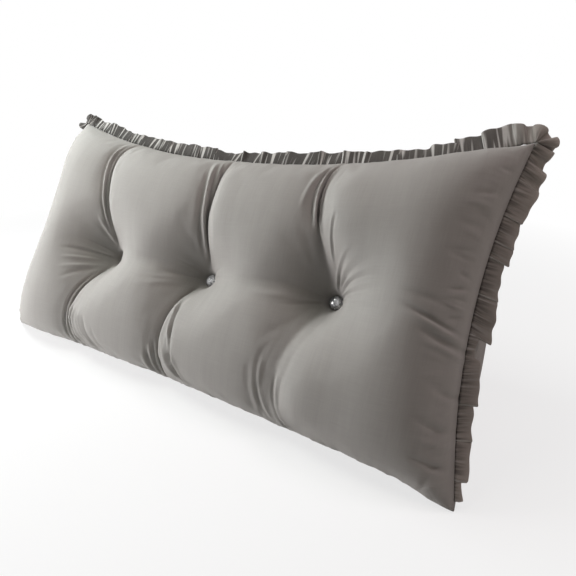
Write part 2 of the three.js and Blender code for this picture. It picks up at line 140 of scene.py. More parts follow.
# Bunched cloth beside each tuft's creases, with x from the crease. The folds wider than 15 mm are swells
# of the filling to the right of a crease.
CREASE_FOLDS = {
    ("left", "top"): (
        (22, 0.04, 22, 0.45, 18, 0.93, 17.0, 2.0, 0.3),
        (-8, 0.12, -14, 0.50, -16, 0.94, 2.8, -2.0, 0.0),
        (-5, 0.12, -9.5, 0.50, -11.5, 0.96, 2.6, 3.2, 0.2),
        (-2.8, 0.14, -6, 0.50, -7.5, 0.96, 2.0, -4.2, 0.0),
        (-1.5, 0.16, -3.5, 0.50, -5, 0.97, 2.2, 2.6, 0.0),
        (-25, 0.28, -14, 0.19, -4, 0.10, 4.0, 2.6, -0.4),
        (-30, 0.22, -17, 0.15, -6, 0.07, 4.0, -1.6, 0.0),
    ),
    ("left", "foot"): (
        (-5, -0.20, -8, -0.55, -9, -0.92, 2.8, -4.2, 0.0),
        (-2.5, -0.20, -4, -0.55, -4.5, -0.92, 2.2, 3.2, 0.0),
        (5, -0.46, 10, -0.70, 36, -0.90, 2.6, -4.2, 0.0),
        (9, -0.46, 15, -0.70, 44, -0.90, 2.6, 4.4, -0.3),
        (14, -0.48, 22, -0.70, 52, -0.90, 2.6, -3.8, 0.0),
        (20, -0.50, 31, -0.71, 62, -0.90, 2.8, 3.6, -0.3),
        (36, -0.52, 52, -0.70, 84, -0.88, 3.0, -3.6, 0.0),
        (42, -0.52, 59, -0.70, 92, -0.87, 3.0, 3.2, -0.3),
        (60, -0.54, 76, -0.70, 102, -0.86, 3.0, -3.0, 0.0),
        (92, -0.60, 104, -0.73, 124, -0.85, 3.6, -1.6, 0.0),
    ),
    ("middle", "top"): (
        (30, 0.02, 30, 0.45, 24, 0.93, 24.0, 4.5, 0.25),
        (-9, 0.10, -15, 0.50, -32, 0.92, 4.0, -3.4, 0.0),
        (-4, 0.10, -8, 0.50, -24, 0.95, 3.2, 5.0, 0.2),
        (-1.5, 0.12, -3, 0.50, -17, 0.90, 1.9, -5.0, 0.0),
        (-1, 0.40, -1.5, 0.65, -12, 0.94, 1.8, 4.8, 0.0),
        (0.5, 0.46, 0.5, 0.66, -6, 0.92, 2.2, -5.0, 0.0),
        (-1, 0.66, -3, 0.82, -4, 0.97, 1.8, 2.0, 0.0),
    ),
    ("middle", "foot"): (
        (1, -0.12, 11, -0.48, 0, -0.78, 7.0, 3.0, 0.0),
        (30, -0.04, 34, -0.40, 38, -0.85, 22.0, 3.6, -0.25),
        (14, -0.26, 33, -0.46, 50, -0.70, 3.0, -4.0, 0.3),
        (6, -0.24, 25, -0.45, 41, -0.66, 2.8, 4.0, 0.0),
        (28, -0.48, 36, -0.60, 44, -0.72, 6.0, -3.6, 0.0),
        (9, -0.54, 31, -0.69, 54, -0.86, 3.2, 4.6, -0.4),
        (33, -0.56, 48, -0.71, 63, -0.89, 3.2, -3.6, 0.0),
        (41, -0.56, 56, -0.71, 72, -0.89, 3.2, 2.0, 0.0),
        (-5, -0.58, -4, -0.75, -2, -0.94, 2.8, 2.6, 0.0),
        (-10, -0.56, -8, -0.75, -5, -0.92, 3.2, -2.8, 0.0),
        (-16, -0.60, -13, -0.76, -9, -0.92, 3.2, 2.4, 0.0),
        (-23, -0.64, -19, -0.78, -14, -0.92, 3.2, -2.4, 0.0),
        (-31, -0.68, -28, -0.80, -23, -0.92, 3.4, 1.8, 0.0),
    ),
    ("right", "top"): (
        (45, -0.15, 45, 0.35, 24, 0.88, 33.0, 5.5, 0.15),
        (4, 0.30, -1, 0.62, 3, 0.95, 2.6, 4.6, 0.4),
        (-2, 0.34, -5, 0.68, -2, 0.94, 2.0, -4.0, 0.0),
        (-6, 0.38, -9, 0.66, -6, 0.94, 2.4, 4.8, 0.2),
        (-11, 0.40, -14, 0.68, -11, 0.92, 2.8, -3.4, 0.0),
        (-30, 0.52, -24, 0.73, -13, 0.95, 3.4, 2.0, 0.2),
        (17, 0.20, 21, 0.36, 33, 0.54, 1.8, -2.0, 0.0),
        (13, 0.20, 17, 0.36, 28, 0.53, 2.2, 1.4, 0.0),
    ),
    ("right", "foot"): (
        (45, 0.15, 46, -0.40, 50, -0.85, 33.0, 5.5, -0.15),
        (-34, -0.40, -23, -0.66, -6, -0.90, 3.8, -2.0, 0.2),
        (-29, -0.44, -17, -0.68, 1, -0.91, 3.6, 1.2, 0.0),
        (-46, -0.46, -38, -0.66, -28, -0.84, 5.5, -1.6, 0.0),
        (2, -0.50, 7, -0.74, 22, -0.95, 3.0, -2.8, 0.0),
        (8, -0.50, 14, -0.75, 32, -0.95, 3.0, 1.6, -0.2),
    ),
}

# Folds elsewhere on the panel, with x from its middle
PANEL_FOLDS = {
    "drawn in from the left side": (
        (-340, -0.09, -298, -0.05, -258, -0.02, 4.4, -2.8, 0.0),
        (-334, -0.18, -296, -0.13, -262, -0.07, 3.8, 2.8, 0.3),
        (-330, -0.27, -288, -0.20, -250, -0.12, 4.0, 2.6, 0.3),
        (-318, -0.36, -284, -0.25, -254, -0.15, 4.4, -2.4, 0.0),
    ),
    "valleys between the buttons": (
        (-222, 0.00, -118, 0.02, -14, 0.00, 28.0, -4.5, 0.0),
        (24, 0.00, 130, 0.02, 248, 0.00, 28.0, -4.5, 0.0),
        (-170, 0.02, -96, 0.03, -14, 0.02, 12.0, -2.4, 0.3),
        (-126, -0.24, -60, -0.15, -12, -0.04, 7.0, 1.6, 0.0),
        (-86, -0.05, -48, -0.03, -12, -0.01, 4.5, -1.2, 0.0),
        (-106, -0.12, -58, -0.09, -14, -0.03, 4.5, 1.2, 0.0),
        (96, 0.02, 170, 0.03, 246, 0.02, 11.0, -2.4, 0.3),
        (126, -0.06, 186, -0.05, 248, -0.01, 6.0, 1.4, 0.0),
        (176, 0.06, 210, 0.05, 248, 0.02, 3.2, -0.9, 0.0),
        (184, -0.12, 216, -0.09, 250, -0.03, 3.2, -0.9, 0.0),
    ),
    "drawn in from the right side": (
        (372, 0.02, 420, -0.06, 476, -0.14, 4.6, -3.4, 0.2),
        (380, -0.03, 428, -0.10, 478, -0.18, 4.2, 2.6, 0.2),
        (396, -0.12, 442, -0.17, 484, -0.23, 4.4, -3.6, 0.2),
        (404, -0.18, 446, -0.22, 484, -0.28, 4.0, 2.2, 0.2),
        (362, 0.08, 410, 0.05, 458, 0.01, 5.5, -1.6, 0.0),
        (436, -0.41, 464, -0.45, 488, -0.51, 3.8, -3.0, 0.0),
        (418, -0.54, 458, -0.60, 490, -0.68, 4.0, -3.0, 0.0),
        (424, -0.64, 460, -0.67, 490, -0.73, 3.8, 2.2, 0.0),
        (418, -0.72, 458, -0.76, 492, -0.82, 4.0, -2.8, 0.0),
        (116, -0.76, 132, -0.83, 150, -0.90, 3.8, 1.4, 0.0),
    ),
}

# Rays that start at a button and fade out over their whole length
BUTTON_RAYS = {
    "right": (
        (267, 0.05, 268, 0.20, 296, 0.38, 2.4, 2.6, 0.3),
        (270, 0.06, 274, 0.20, 304, 0.36, 2.0, -2.6, 0.0),
        (272, 0.06, 282, 0.19, 318, 0.31, 2.2, 2.2, 0.2),
        (273, 0.05, 291, 0.17, 334, 0.26, 1.9, -2.2, 0.0),
        (273, 0.05, 297, 0.15, 346, 0.21, 2.4, 2.4, 0.2),
        (274, 0.04, 300, 0.12, 350, 0.16, 2.0, -2.4, 0.0),
        (275, 0.03, 302, 0.08, 352, 0.12, 2.2, 2.0, 0.2),
        (275, 0.02, 304, 0.05, 356, 0.08, 2.2, -1.6, 0.0),
        (276, 0.00, 306, -0.01, 350, 0.02, 2.8, 1.2, 0.0),
        (248, 0.01, 216, 0.03, 176, 0.04, 3.0, -1.2, 0.0),
        (249, -0.02, 220, -0.05, 186, -0.07, 2.8, 1.0, 0.0),
    ),
    "middle": (
        (16, 0.02, 34, 0.06, 62, 0.09, 2.4, -1.6, 0.0),
        (16, 0.00, 36, 0.02, 64, 0.04, 2.4, 1.4, 0.0),
        (17, -0.02, 36, -0.03, 60, -0.02, 2.4, -1.2, 0.0),
        (-8, 0.03, -30, 0.07, -62, 0.09, 2.6, -1.8, 0.0),
        (-8, 0.01, -32, 0.03, -70, 0.03, 2.6, 1.6, 0.0),
        (-8, -0.01, -30, -0.03, -66, -0.05, 2.6, -1.4, 0.0),
    ),
    "left": (
        (-232, 0.02, -212, 0.05, -180, 0.07, 2.4, -1.4, 0.0),
        (-232, 0.00, -212, 0.00, -178, 0.01, 2.4, 1.2, 0.0),
        (-253, 0.02, -276, 0.05, -312, 0.06, 2.8, -1.8, 0.0),
        (-253, 0.00, -278, -0.01, -316, 0.00, 2.8, 1.6, 0.0),
    ),
}
FOLD_STEPS = 18
FOLD_MARGIN = 3

# Over what share of its length a fold fades in at its start, and out at its end
CREASE_FADING = (0.3, 0.2)
PANEL_FADING = (0.5, 0.5)
RAY_FADING = (0.12, 0.85)

# Settling: the cover is blown out from inside over a few moments, held at its seams, creases and
# buttons. It starts a little small and with a little too much cloth, and may move only this far.
SETTLE_PRESSURE = 4.0
SETTLE_FRAMES = 20
SETTLE_START = 0.002
SETTLE_CLOTH = 0.012
SETTLE_LIMIT = 0.006
SETTLE_CREASE = 0.007
SETTLE_BUTTON = 0.026
SETTLE_BLUR = 0.009
SETTLE_QUALITY = 8
SETTLE_MASS = 0.08
SETTLE_BENDING = 0.05

# Small gathers where the panels are sewn together: how far apart, how far they reach in, width and depth,
# how uneven each of those is, how far they turn or lean, and how far from seams and corners they start
GATHERS = {
    "side": {"apart": 0.012, "reach": 0.036, "width": 0.0030, "depth": 0.0018},
    "top": {"apart": 0.027, "reach": 0.026, "width": 0.0042, "depth": 0.0009},
    "foot": {"apart": 0.016, "reach": 0.042, "width": 0.0038, "depth": 0.0014},
}
GATHER_SHIFT = (-0.4, 0.4)
GATHER_REACH = (0.6, 1.6)
GATHER_WIDTH = (0.8, 1.4)
GATHER_DEPTH = (-1.3, 1.0)
GATHER_LEAN = (-0.3, 0.3)
SIDE_GATHER_TURN = (-0.05, 0.05)
LONG_GATHER_TURN = (-0.008, 0.008)
SIDE_GATHER_START = 0.003
LONG_GATHER_START = 0.02
GATHER_CORNER = 0.03
LONG_GATHER_END = 0.46
GATHER_SEED = 7

# Buttons: round crystals cut with rings of facets, at shares of their radius and height. The cover is
# pulled down flat under each and rises again round its rim.
BUTTON_RADIUS = 0.0117
BUTTON_HEIGHT = 0.0085
BUTTON_SEAT = 0.001
SEAT_RIM = 0.0095
SEAT_FLARE = 0.0065
SEAT_CLEARANCE = 0.0004
SEAT_DEPTH = 0.03
SEAT_REACH = 0.05
BUTTON_TURN = 0.21
BUTTON_RINGS = [
    {"corners": 16, "radius": 0.90, "height": 0.00, "turn": 0.0},
    {"corners": 16, "radius": 1.00, "height": 0.30, "turn": 0.0},
    {"corners": 16, "radius": 0.82, "height": 0.66, "turn": 0.5},
    {"corners": 8, "radius": 0.60, "height": 0.90, "turn": 0.0},
    {"corners": 8, "radius": 0.42, "height": 1.00, "turn": 0.5},
]

# Ruffle: a strip folded in two along its rim and gathered into the seam of the front panel's sides and
# top. It leans back between the front and end panels, and stands up straighter along the top.
RUFFLE_WIDTH = 0.029
RUFFLE_SIDE_TILT = math.radians(42)
RUFFLE_TOP_TILT = math.radians(16)
RUFFLE_GAP = 0.0003
RUFFLE_FOOT = 0.012
RUFFLE_STEP = 0.0018
LEAST_STEPS = 8
RUFFLE_ROWS = 10
RUFFLE_RIM_ROWS = 3
RUFFLE_LAYER = 0.0005
RUFFLE_SPREAD = 0.0010
RUFFLE_ROOT_SPREAD = 0.0004
SEAM_STEPS = 300
CORNER_STEPS = 40
CORNER_MEASURE = 0.7
FOLD_ROUNDNESS = {"lap": 1.2, "rise": 1.2, "width": 1.2, "slant": 7.2, "lean": 4.8}
# Reach along the cloth of the painted highlight on each pressed fold's edge
FOLD_HIGHLIGHT_WIDTH = 0.0011
LOOP_CLOTH = 2.5
LOOP_NECK = 0.6
PLEAT_RISE = 0.75
PLEAT_ROOT = 0.22
PLEAT_SHIFT = 0.5
LAP_AT_ROOT = 0.5
ROOT_GATHER = 0.0005
ROOT_GATHER_PITCH = 0.0083
ROOT_GATHER_DRIFT = {"pitch": 0.017, "turn": 5}
ROOT_GATHER_REACH = 0.2
RIM_WOBBLE = 0.0011
RIM_WOBBLE_PITCH = 0.031
RIM_WOBBLE_DRIFT = {"pitch": 0.057, "turn": 2}

# Pleats, in order along the seam: width on the seam, how far the folded edge stands out, how far it laps
# over its neighbour, the side it opens to, how round it is from 0 for pressed flat to 1 for a standing
# loop, the ruffle's own width at the pleat's start and end, how far its rim is carried along, and its
# extra lean in degrees. The side's pleats run from the foot up, the others from left to right.
PLEAT = ("width", "depth", "lap", "opens", "round", "from", "to", "slant", "lean")
SIDE_PLEATS = (
    (0.020, 0.003, 0.003, -1, 0.3, 0.0115, 0.0095, 0.000, 0),
    (0.040, 0.004, 0.004, -1, 0.2, 0.0190, 0.0245, 0.000, 0),
    (0.045, 0.005, 0.004, -1, 0.3, 0.0240, 0.0230, 0.004, 0),
    (0.063, 0.005, 0.006, -1, 0.2, 0.0310, 0.0260, 0.006, 0),
    (0.036, 0.003, 0.003, 1, 0.2, 0.0180, 0.0165, 0.000, 10),
    (0.058, 0.007, 0.009, -1, 0.4, 0.0370, 0.0315, -0.004, -4),
    (0.056, 0.005, 0.005, -1, 0.2, 0.0320, 0.0260, 0.004, 0),
    (0.024, 0.005, 0.006, -1, 0.2, 0.0335, 0.0330, 0.000, -3),
    (0.040, 0.004, 0.004, -1, 0.1, 0.0325, 0.0325, 0.003, 0),
    (0.056, 0.006, 0.005, -1, 0.3, 0.0330, 0.0410, 0.003, 0),
    (0.031, 0.006, 0.004, -1, 0.5, 0.0400, 0.0370, 0.000, 0),
    (0.029, 0.005, 0.005, 1, 0.6, 0.0310, 0.0320, 0.000, 0),
)
LEFT_CORNER_PLEATS = (
    (0.020, 0.009, 0.004, 1, 0.9, 0.0320, 0.0300, -0.004, -26),
    (0.022, 0.007, 0.004, 1, 0.8, 0.0270, 0.0300, 0.000, -6),
)
RIGHT_CORNER_PLEATS = (
    (0.024, 0.006, 0.004, 1, 0.9, 0.0310, 0.0350, 0.003, 0),
    (0.018, 0.006, 0.004, 1, 0.9, 0.0350, 0.0320, 0.000, 0),
)
TOP_PLEATS = (
    (0.018, 0.005, 0.004, 1, 0.6, 0.0230, 0.0260, -0.004, 4),
    (0.016, 0.005, 0.004, -1, 0.3, 0.0260, 0.0260, -0.004, -3),
    (0.022, 0.004, 0.004, 1, 0.3, 0.0250, 0.0240, -0.006, 5),
    (0.036, 0.004, 0.005, 1, 0.1, 0.0240, 0.0290, -0.006, 0),
    (0.036, 0.005, 0.005, -1, 0.1, 0.0280, 0.0290, -0.007, -4),
    (0.040, 0.003, 0.004, 1, 0.0, 0.0290, 0.0230, -0.006, 3),
    (0.035, 0.004, 0.005, 1, 0.1, 0.0240, 0.0260, -0.004, -2),
    (0.050, 0.004, 0.006, -1, 0.0, 0.0260, 0.0310, 0.000, 4),
    (0.045, 0.004, 0.005, 1, 0.1, 0.0290, 0.0270, -0.006, -3),
    (0.051, 0.003, 0.006, -1, 0.0, 0.0280, 0.0310, -0.008, 2),
    (0.033, 0.005, 0.004, 1, 0.2, 0.0330, 0.0290, -0.010, 0),
    (0.044, 0.003, 0.005, 1, 0.0, 0.0290, 0.0280, -0.008, -4),
    (0.038, 0.004, 0.006, -1, 0.1, 0.0270, 0.0220, -0.006, 4),
    (0.028, 0.004, 0.004, 1, 0.1, 0.0215, 0.0240, 0.006, 0),
    (0.016, 0.005, 0.004, -1, 0.3, 0.0250, 0.0270, -0.007, -4),
    (0.027, 0.003, 0.003, 1, 0.1, 0.0270, 0.0280, 0.004, 3),
    (0.021, 0.005, 0.005, -1, 0.2, 0.0280, 0.0290, -0.006, 0),
    (0.030, 0.003, 0.004, 1, 0.0, 0.0280, 0.0310, -0.003, -2),
    (0.040, 0.004, 0.005, -1, 0.0, 0.0330, 0.0295, 0.002, 3),
    (0.029, 0.004, 0.004, 1, 0.1, 0.0325, 0.0300, 0.003, -3),
    (0.016, 0.005, 0.004, -1, 0.3, 0.0310, 0.0320, -0.004, 0),
    (0.029, 0.003, 0.004, 1, 0.0, 0.0320, 0.0310, 0.004, 4),
    (0.036, 0.005, 0.004, -1, 0.1, 0.0310, 0.0290, -0.003, -2),
    (0.011, 0.005, 0.003, 1, 0.4, 0.0290, 0.0280, 0.003, 2),
    (0.048, 0.003, 0.005, 1, 0.0, 0.0280, 0.0230, 0.000, -3),
    (0.050, 0.004, 0.006, -1, 0.0, 0.0250, 0.0230, 0.002, 3),
    (0.040, 0.004, 0.005, 1, 0.1, 0.0300, 0.0220, 0.000, -2),
    (0.039, 0.004, 0.005, -1, 0.0, 0.0335, 0.0355, 0.000, 2),
    (0.041, 0.005, 0.005, -1, 0.2, 0.0350, 0.0460, 0.000, -3),
    (0.025, 0.007, 0.006, 1, 0.5, 0.0450, 0.0290, 0.000, 0),
)

# Camera, as fitted to the photograph's seams, corners and buttons
CAMERA_PLACE = Vector((0.48649, -0.57965, 0.49197))
CAMERA_AZIMUTH = math.radians(29.14)
CAMERA_ELEVATION = math.radians(24.98)
CAMERA_LENS = 25.61
CAMERA_SENSOR = 36.0
CAMERA_NEAR = 0.01

# Colours and cloth
COVER_COLOUR = (0.36, 0.345, 0.325)
SEAM_COLOUR = (0.19, 0.18, 0.17)
# Painted shade and light on the ruffle: its colour runs from this painted-shade colour to this painted-light
# colour
RUFFLE_PAINTED_SHADE_COLOUR = (0.038, 0.034, 0.031)
RUFFLE_PAINTED_LIGHT_COLOUR = (0.56, 0.51, 0.46)
# Painted highlight colour for the ruffle's folded edges and its light streaks
RUFFLE_PAINTED_HIGHLIGHT_COLOUR = (0.60, 0.58, 0.55)
# Share of painted light along the ruffle by x: low along the top, where it stands in painted shade, and high
# down the right side
RUFFLE_PAINTED_LIGHT_ALONG_X = (
    {"x": -0.50, "painted_light": 0.04},
    {"x": -0.20, "painted_light": 0.05},
    {"x": 0.10, "painted_light": 0.05},
    {"x": 0.44, "painted_light": 0.13},
    {"x": 0.52, "painted_light": 0.74},
)
# The crystals' colour holds painted glints and dark painted reflections in small random cells: the bright and
# dark colours, the cells' scale and the shares between them
CRYSTAL_COLOUR = (0.92, 0.93, 0.95)
CRYSTAL_PAINTED_REFLECTION_DARK = (0.16, 0.17, 0.18)
CRYSTAL_GLINT_SCALE = 330.0
CRYSTAL_ROUGHNESS = 0.08
CRYSTAL_MIRROR = 0.2
CRYSTAL_PAINTED_GLINT_RANGE = {"low": 0.3, "high": 1.0, "start": 0.25, "end": 0.6}
COTTON_ROUGHNESS = 0.8
COTTON_SHINE = 0.12
COTTON_SHEEN = 0.12
SHEEN_ROUGHNESS = 0.5
SEAM_SHADE = 0.35

# Weave: how fine its threads are, how high they stand, how far colour follows them, and its roughness
THREAD_SCALE = 480.0
THREAD_RELIEF = 0.0002
THREAD_WAVE = {"Distortion": 0.35, "Detail": 1.0, "Detail Scale": 0.02}
THREAD_GAPS = {"low": 0.93, "high": 1.05, "start": -1.0, "end": 1.0}
WEAVE_HEIGHT = 0.5
FIBRE_HEIGHT = 0.4
FIBRE_ROUGHNESS = {"low": 0.74, "high": 0.88, "start": 0.3, "end": 0.7}
SLUB_AMOUNT = 0.14
MOTTLING_AMOUNT = 0.13
COVER_BUMP = 0.5
RUFFLE_BUMP = 0.6

# Patterns over the cloth: how fine each is along, across and through it, and in how much detail
NOISE_ROUGHNESS = 0.6
SLUBS_ALONG = {"scales": (22, 700, 700), "detail": 3.0}
SLUBS_ACROSS = {"scales": (520, 18, 520), "detail": 3.0}
FIBRES = {"scales": (1800, 1800, 1800), "detail": 2.0}
MOTTLING = {"scales": (60, 7, 7), "detail": 3.0}
# Noise for the ruffle's painted shade in streaks near its seam, and for its painted highlight streaks
PAINTED_ROOT_SHADE_NOISE = {"scales": (170, 14, 1), "detail": 2.0}
PAINTED_HIGHLIGHT_NOISE = {"scales": (120, 9, 7), "detail": 1.0}

# Streaks on the ruffle, painted shade near its seam and painted highlights on its creases: where the pattern
# shows, and how they fade towards the rim or on paler cloth
PAINTED_ROOT_SHADE_RANGE = {"low": 1.0, "high": 0.0, "start": 0.42, "end": 0.60}
PAINTED_ROOT_SHADE_FADE = {"low": 0.75, "high": 0.0, "start": 0.0, "end": 0.9}
PAINTED_HIGHLIGHT_RANGE = {"low": 0.0, "high": 0.8, "start": 0.52, "end": 0.64}
PAINTED_HIGHLIGHT_FADE = {"low": 1.0, "high": 0.0, "start": 0.1, "end": 0.6}

# Studio: soft round lamps, a floor that is white where it is seen, and how bright the room is
MIDDLE = (0.0, 0.0, 0.2)
LEFT_PART = (-0.2, 0.0, 0.2)
LAMPS = [
    {"name": "window", "place": (-1.5, -0.9, 0.5), "target": LEFT_PART, "size": 0.6, "power": 25.5,
     "colour": (1.0, 0.98, 1.0)},
    {"name": "high window", "place": (-1.0, 0.0, 1.0), "target": LEFT_PART, "size": 0.6, "power": 9.7,
     "colour": (0.9, 1.0, 1.0)},
    {"name": "over the front", "place": (-0.5, -0.2, 1.3), "target": LEFT_PART, "size": 0.6, "power": 5.0,
     "colour": (1.0, 1.0, 0.93)},
    {"name": "back ceiling", "place": (0.84, 0.71, 2.1), "target": MIDDLE, "size": 0.7, "power": 11.3,
     "colour": (1.0, 0.88, 0.93)},
    {"name": "right wall", "place": (1.8, 0.0, 1.46), "target": MIDDLE, "size": 0.7, "power": 6.0,
     "colour": (1.0, 0.86, 0.78)},
]
FLOOR_SIZE = 6
FLOOR_COLOUR = (0.9, 0.9, 0.9)
FLOOR_ROUGHNESS = 0.9
FLOOR_GLOW = ({"distance": 0.5, "glow": 0.7}, {"distance": 1.6, "glow": 1.0})
WORLD_SEEN = 1.0
WORLD_REFLECTED = 0.6


# Shape of the cover

def lerp(low, high, share):
    return low + (high - low) * share


def smoothstep(value, low, high):
    share = np.clip((value - low) / (high - low), 0, 1)
    return share * share * (3 - 2 * share)


def round_over(distance, radius):
    """A panel's rise from its seam, which starts square to the panel and levels off at the radius."""
    left = 1 - np.clip(distance / radius, 0, 1)
    return np.sqrt(1 - left * left)


def crowded(step):
    """Evenly spaced steps from 0 to 1, crowded towards both ends."""
    return lerp(step, (1 - np.cos(math.pi * step)) / 2, GRID_CROWDING)


def bow(share):
    """A bow that is 1 at the middle of a seam and 0 at its ends."""
    return 4 * share * (1 - share)


def lengths(vectors):
    return np.sqrt((vectors * vectors).sum(-1))


def top_dip(u):
    return TOP_DIP * (1 - np.abs(u) ** TOP_DIP_POWER)


def panel_x(u, v, dip=SIDE_DIP):
    return u * (HALF_WIDTH - dip * bow(v))


def panel_height(u):
    return PANEL_HEIGHT - top_dip(u)


def on_slope(x, q):
    """Place on the front panel's seam plane: x along it, and q up its slope from the foot seam."""
    return FOOT_SEAM + np.multiply.outer(x, ALONG) + np.multiply.outer(q, UP_SLOPE)


def pulled_to_ear(points):
    """Points near a corner at the front's foot go with the corner, down and forward."""
    points = np.array(points, float)
    on_right = points[..., 0] >= 0
    for ear in EARS:
        corner = np.array([ear["side"] * HALF_WIDTH, FRONT_FOOT_Y, SEAM_LIFT])
        pull = np.exp(-lengths(points - corner) ** 2 / EAR_REACH ** 2)
        pull = pull * (on_right == (ear["side"] > 0))
        points[..., 0] += ear["side"] * ear["spread"] * pull
        points[..., 1] -= ear["forward"] * pull
        points[..., 2] -= EAR_DROP * np.minimum(points[..., 2], SEAM_LIFT) * pull
    return points


def at_station(station, values):
    """Values given for the stations along the panel, joined by straight lines.
    Stations are 0 at the left side, a whole number at each tuft, and the last at the right side."""
    table = np.stack(np.broadcast_arrays(*values, station)[:-1])
    before = np.minimum(station.astype(int), len(values) - 2)
    low = np.take_along_axis(table, before[None], 0)[0]
    high = np.take_along_axis(table, before[None] + 1, 0)[0]
    return lerp(low, high, station - before)


def crease_x(tuft, w):
    """Where a tuft's crease runs at w, from -1 at the foot over 0 at the button to 1 at the top."""
    def run(end):
        return end["bend"] * bow(np.abs(w) ** end["skew"]) + end["drift"] * np.abs(w)

    return tuft["x"] + np.where(w > 0, run(tuft["top"]), run(tuft["foot"]))


def tuft_share(x, rise, w):
    """Share of the crown that the tufts leave at x, at a rise above the buttons' level."""
    valley_end = 1 - smoothstep(np.abs(x), TUFT_SPACING, TUFT_SPACING + VALLEY_END)
    share = 1 - VALLEY_DEPTH * valley_end * np.exp(-((w / VALLEY_REACH) ** 2))
    towards_top = smoothstep(w, -TUFT_BLEND, TUFT_BLEND)
    for tuft in TUFTS:
        depth = lerp(tuft["foot"]["depth"], tuft["top"]["depth"], towards_top)
        distance = np.hypot(x - tuft["x"], rise)
        soft = lerp(tuft["foot"]["soft"], tuft["top"]["soft"], towards_top)
        soft = soft + BUTTON_SOFTNESS * np.exp(-((distance / BUTTON_SOFT_REACH) ** 2))
        away = np.clip(np.hypot((x - crease_x(tuft, w)) / (TUFT_SPACING / 2), soft), 0, 1)
        arch = np.sqrt(1 - (1 - away) ** CREASE_SHARPNESS)
        funnel = 1 - np.minimum(distance / FUNNEL_RADIUS, 1)
        share = share - depth * (1 - arch) - tuft["pull"] * funnel ** FUNNEL_FLARE
    return share


def front_point(station, w):
    """A place on the front, at a station and at w from the foot over the buttons to the top."""
    station, w = np.broadcast_arrays(np.asarray(station, float), np.asarray(w, float))
    levels = [tuft["level"] for tuft in TUFTS]
    level = at_station(station, [levels[0], *levels, levels[-1]])
    v = np.where(w > 0, lerp(level, 1, w), level * (1 + w))
    side_x = panel_x(1, v)
    x = at_station(station, [-side_x, *[crease_x(tuft, w) for tuft in TUFTS], side_x])
    u = x / side_x
    height = panel_height(u)
    from_side = HALF_WIDTH * (1 - np.abs(u))
    from_end = height * np.minimum(v, 1 - v)
    crown = FRONT_CROWN * round_over(from_side, FRONT_ROUND) * round_over(from_end, FRONT_ROUND)
    crown = crown * tuft_share(x, height * (v - level), w)
    turn = smoothstep(v, 0, FORWARD_REACH)[..., None]
    out = lerp(FORWARD, OFF_SLOPE, turn)
    out = out / lengths(out)[..., None]
    place = FOOT_SEAM + x[..., None] * ALONG + (height * v)[..., None] * UP_SLOPE + crown[..., None] * out
    place[..., 1] += FRONT_FOOT_DIP * bow((u + 1) / 2) * (1 - v)
    return place


def back_point(station, t):
    top = front_point(station, 1)
    foot = front_point(station, -1)
    foot[..., 1] = BACK_FOOT_Y
    foot[..., 2] = SEAM_LIFT
    height = lengths(top - foot)
    place = lerp(top, foot, t[..., None])
    from_side = HALF_WIDTH - np.abs(place[..., 0])
    place[..., 0] *= 1 - BACK_SIDE_DIP * bow(t) / HALF_WIDTH
    from_end = height * np.minimum(t, 1 - t)
    place[..., 1] += BACK_CROWN * round_over(from_side, BACK_ROUND) * round_over(from_end, BACK_ROUND)
    return place


def base_point(station, t):
    front = front_point(station, -1)
    back = front.copy()
    back[..., 1] = BACK_FOOT_Y
    back[..., 2] = SEAM_LIFT
    inset = np.minimum(lengths(back - front) * np.minimum(t, 1 - t), HALF_WIDTH - np.abs(front[..., 0]))
    place = lerp(back, front, t[..., None])
    place[..., 2] = SEAM_LIFT * (1 - round_over(inset, BASE_ROUND))
    return place


def front_w(index):
    """The front's rows from the foot seam to the top seam, crowded at the foot, the buttons and the top."""
    half = FRONT_ROWS / 2
    return np.where(index < half, crowded(index / half) - 1, crowded(index / half - 1))


def section_point(station, index):
    """One turn round the wedge's section: up the front, down the back and forward along the base."""
    front = front_point(station, front_w(np.clip(index, 0, FRONT_ROWS)))
    back = back_point(station, crowded(np.clip((index - FRONT_ROWS) / BACK_ROWS, 0, 1)))
    base = base_point(station, crowded(np.clip((index - FRONT_ROWS - BACK_ROWS) / BASE_ROWS, 0, 1)))
    on_front = (index <= FRONT_ROWS)[..., None]
    on_back = (index <= FRONT_ROWS + BACK_ROWS)[..., None]
    return np.where(on_front, front, np.where(on_back, back, base))


def end_point(side, index, ring):
    """Rings of an end panel, from 1 at its seam to 0 at its middle. The bows of the front and back seams
    fade out over the panel's triangle, and filling domes it."""
    station = np.full(index.shape, 0.0 if side < 0 else STATIONS)
    foot = section_point(station, np.zeros(index.shape))
    top = section_point(station, np.full(index.shape, FRONT_ROWS))
    heel = section_point(station, np.full(index.shape, FRONT_ROWS + BACK_ROWS))
    middle = (foot + top + heel) / 3
    place = lerp(middle, section_point(station, index), ring[..., None])

    def area(a, b, c):
        ab, ac = b[..., 1:] - a[..., 1:], c[..., 1:] - a[..., 1:]
        return ab[..., 0] * ac[..., 1] - ab[..., 1] * ac[..., 0]

    whole = area(foot, top, heel)
    at_foot = area(place, top, heel) / whole
    at_top = area(foot, place, heel) / whole
    at_heel = 1 - at_foot - at_top
    front_bow = 4 * at_foot * at_top
    back_bow = 4 * at_top * at_heel
    dome = 27 * at_foot * at_top * at_heel
    draw = SIDE_DIP * front_bow + BACK_SIDE_DIP * back_bow - END_CROWN * dome
    place[..., 0] = side * (HALF_WIDTH - draw)
    return place


def column_station(column):
    before = np.minimum((column // COLUMNS_PER_TUFT).astype(int), STATIONS - 1)
    return before + crowded(column / COLUMNS_PER_TUFT - before)


# Meshes

def mesh_object(name, bm):
    bmesh.ops.recalc_face_normals(bm, faces=bm.faces)
    mesh = bpy.data.meshes.new(name)
    bm.to_mesh(mesh)
    bm.free()
    obj = bpy.data.objects.new(name, mesh)
    bpy.context.scene.collection.objects.link(obj)
    return obj


